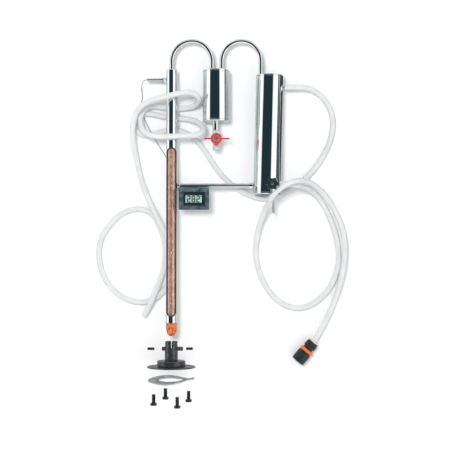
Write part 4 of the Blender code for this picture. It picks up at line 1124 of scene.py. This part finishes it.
def make_flange_screws():
    """Four cap screws with knurled heads, laid out in line with their holes."""
    tip, head, top = -146.0, -164.0, -169.0
    radius, pitch, head_radius = 3.95, 1.25, 6.75

    def knurled(r, h, angle):
        beside_head = r > 6.5 and head - 4.2 < h < head - 0.4
        return (r - 0.12 * abs(sin(angle * 24)) if beside_head else r), h

    cap = [(0, head + 0.05), *((head_radius, head - 0.6 * i) for i in range(8)), (6.2, top), (0, top)]
    for number, (x, z) in enumerate(BOLT_PLACES, start=1):
        place = {"at": (x, -SCREW_STAGGER * z, z), "along": UP_COLUMN}
        mesh = threaded("cap_screw_%d" % number, [(0, tip), (3.0, tip), (3.85, tip - 0.9)],
                        [(3.9, head + 0.2), (3.9, head), (0, head)], radius, tip - 1.0, head + 0.4, pitch)
        shank = piece(mesh, "black_screw", "screw_%d" % number, ("flange_screw_%d" % number,), **place)
        cut(shank, lathe("cap", cap, steps=96, press=knurled), how="UNION", **place)
        cut(shank, hexagon_hole(3.5, top - 2, top + 2.6), **place)


# ---------------------------------------------------------------- quick connector
def make_connector():
    """A garden quick connector: body, nut over the hose, release ring and collet."""
    place = {"within": BENCH, "at": CONNECTOR_START, "along": CONNECTOR_DIRECTION}
    rows, low, length = 24, 29, 22.6
    barrel = [(14.3 + 0.25 * sin(pi * (h - low) / length), h)
              for h in (low + length * i / rows for i in range(rows + 1))]
    body = [(5.2, 1.2), (9.6, 1.2), (9.6, 15.0), (11.0, 15.4), (11.0, 26.6), (13.4, 27.2), *barrel,
            (13.6, 52.6), (12.6, 53.0), (9.4, 53.0), (8.4, 52.2), (8.4, 30.0), (5.2, 29.0)]
    turned("quick_body", body, "dark_plastic", "connector_body", place, steps=192,
           closed=True, press=fluted(0.55, 16, 12.0, 30.6, 49.6, sharpness=0.5, run_out=1.5))
    skirt = [(11.4 + 1.5 * sin(pi / 2 * min(1.0, i / 5)), 1.2 + 1.15 * i) for i in range(12)]
    nut = [(9.9, 0.6), (10.6, 0.3), *skirt, (12.5, 14.6), (9.9, 14.6)]
    turned("quick_nut_cap", nut, "dark_plastic", "connector_nut", place, "quick_nut", steps=200,
           closed=True, press=fluted(0.5, 20, 10.3, 2.0, 14.4, sharpness=0.5))
    ring = [(11.3, 19.4), (13.6, 19.4), (14.7, 20.4), (14.9, 22.7), (14.7, 25.1), (13.8, 26.1),
            (11.3, 26.1)]
    turned("quick_release_ring", ring, "orange_plastic", "connector_ring", place, "quick_ring",
           steps=144, closed=True, edge=0.5)
    collet = [(6.15, -3.8), (8.4, -3.2), (9.6, -0.6), (9.6, 2.0), (6.15, 2.0)]
    turned("hose_collet", collet, "peach_plastic", "connector_collet", place, steps=96,
           closed=True, edge=0.4)


make_camera()
make_hose("supply_hose_tubing", SUPPLY_ROUTE, 6, 5)
make_hose("drain_hose_tubing", DRAIN_ROUTE, 8, 0)
make_wire()
make_world()
make_lights()
make_floor()
make_flag()
make_column_tube()
make_window_trim()
make_packing()
make_stitches()
make_plug()
make_column_fittings()
make_bend("vapour_bend_inlet", "vapour_bend_1", *BEND_FEET[:2], COLUMN_LENGTH,
          CHAMBER_PIPE_FOOT)
make_bend("vapour_bend_outlet", "vapour_bend_2", *BEND_FEET[2:], CHAMBER_PIPE_FOOT,
          CONDENSER_PIPE_FOOT)
make_welds()
make_can("chamber", CHAMBER_RADIUS, CHAMBER_BOTTOM, CHAMBER_TOP, at=(CHAMBER_X, 0, 0), along=UP_COLUMN)
make_can("condenser", CONDENSER_RADIUS, 0, CONDENSER_LENGTH, along=UP_COLUMN, within=CONDENSER)
make_neck()
make_condenser_ports()
make_cross_bar()
make_thermometer_front()
make_digits()
make_tap()
make_valve()
make_adapter()
make_gasket()
make_clamp_screws()
make_flange_screws()
make_connector()

# The CAD nodes that no piece stands for show as they are.
SLOTS = {row["node"]: row["material_slot"] for row in frame["record"]["subparts"]}
for name, obj in frame["nodes"].items():
    obj.data.materials.clear()
    obj.data.materials.append(LOOK[SLOTS[name]])
SCENE.view_settings.view_transform = "Standard"
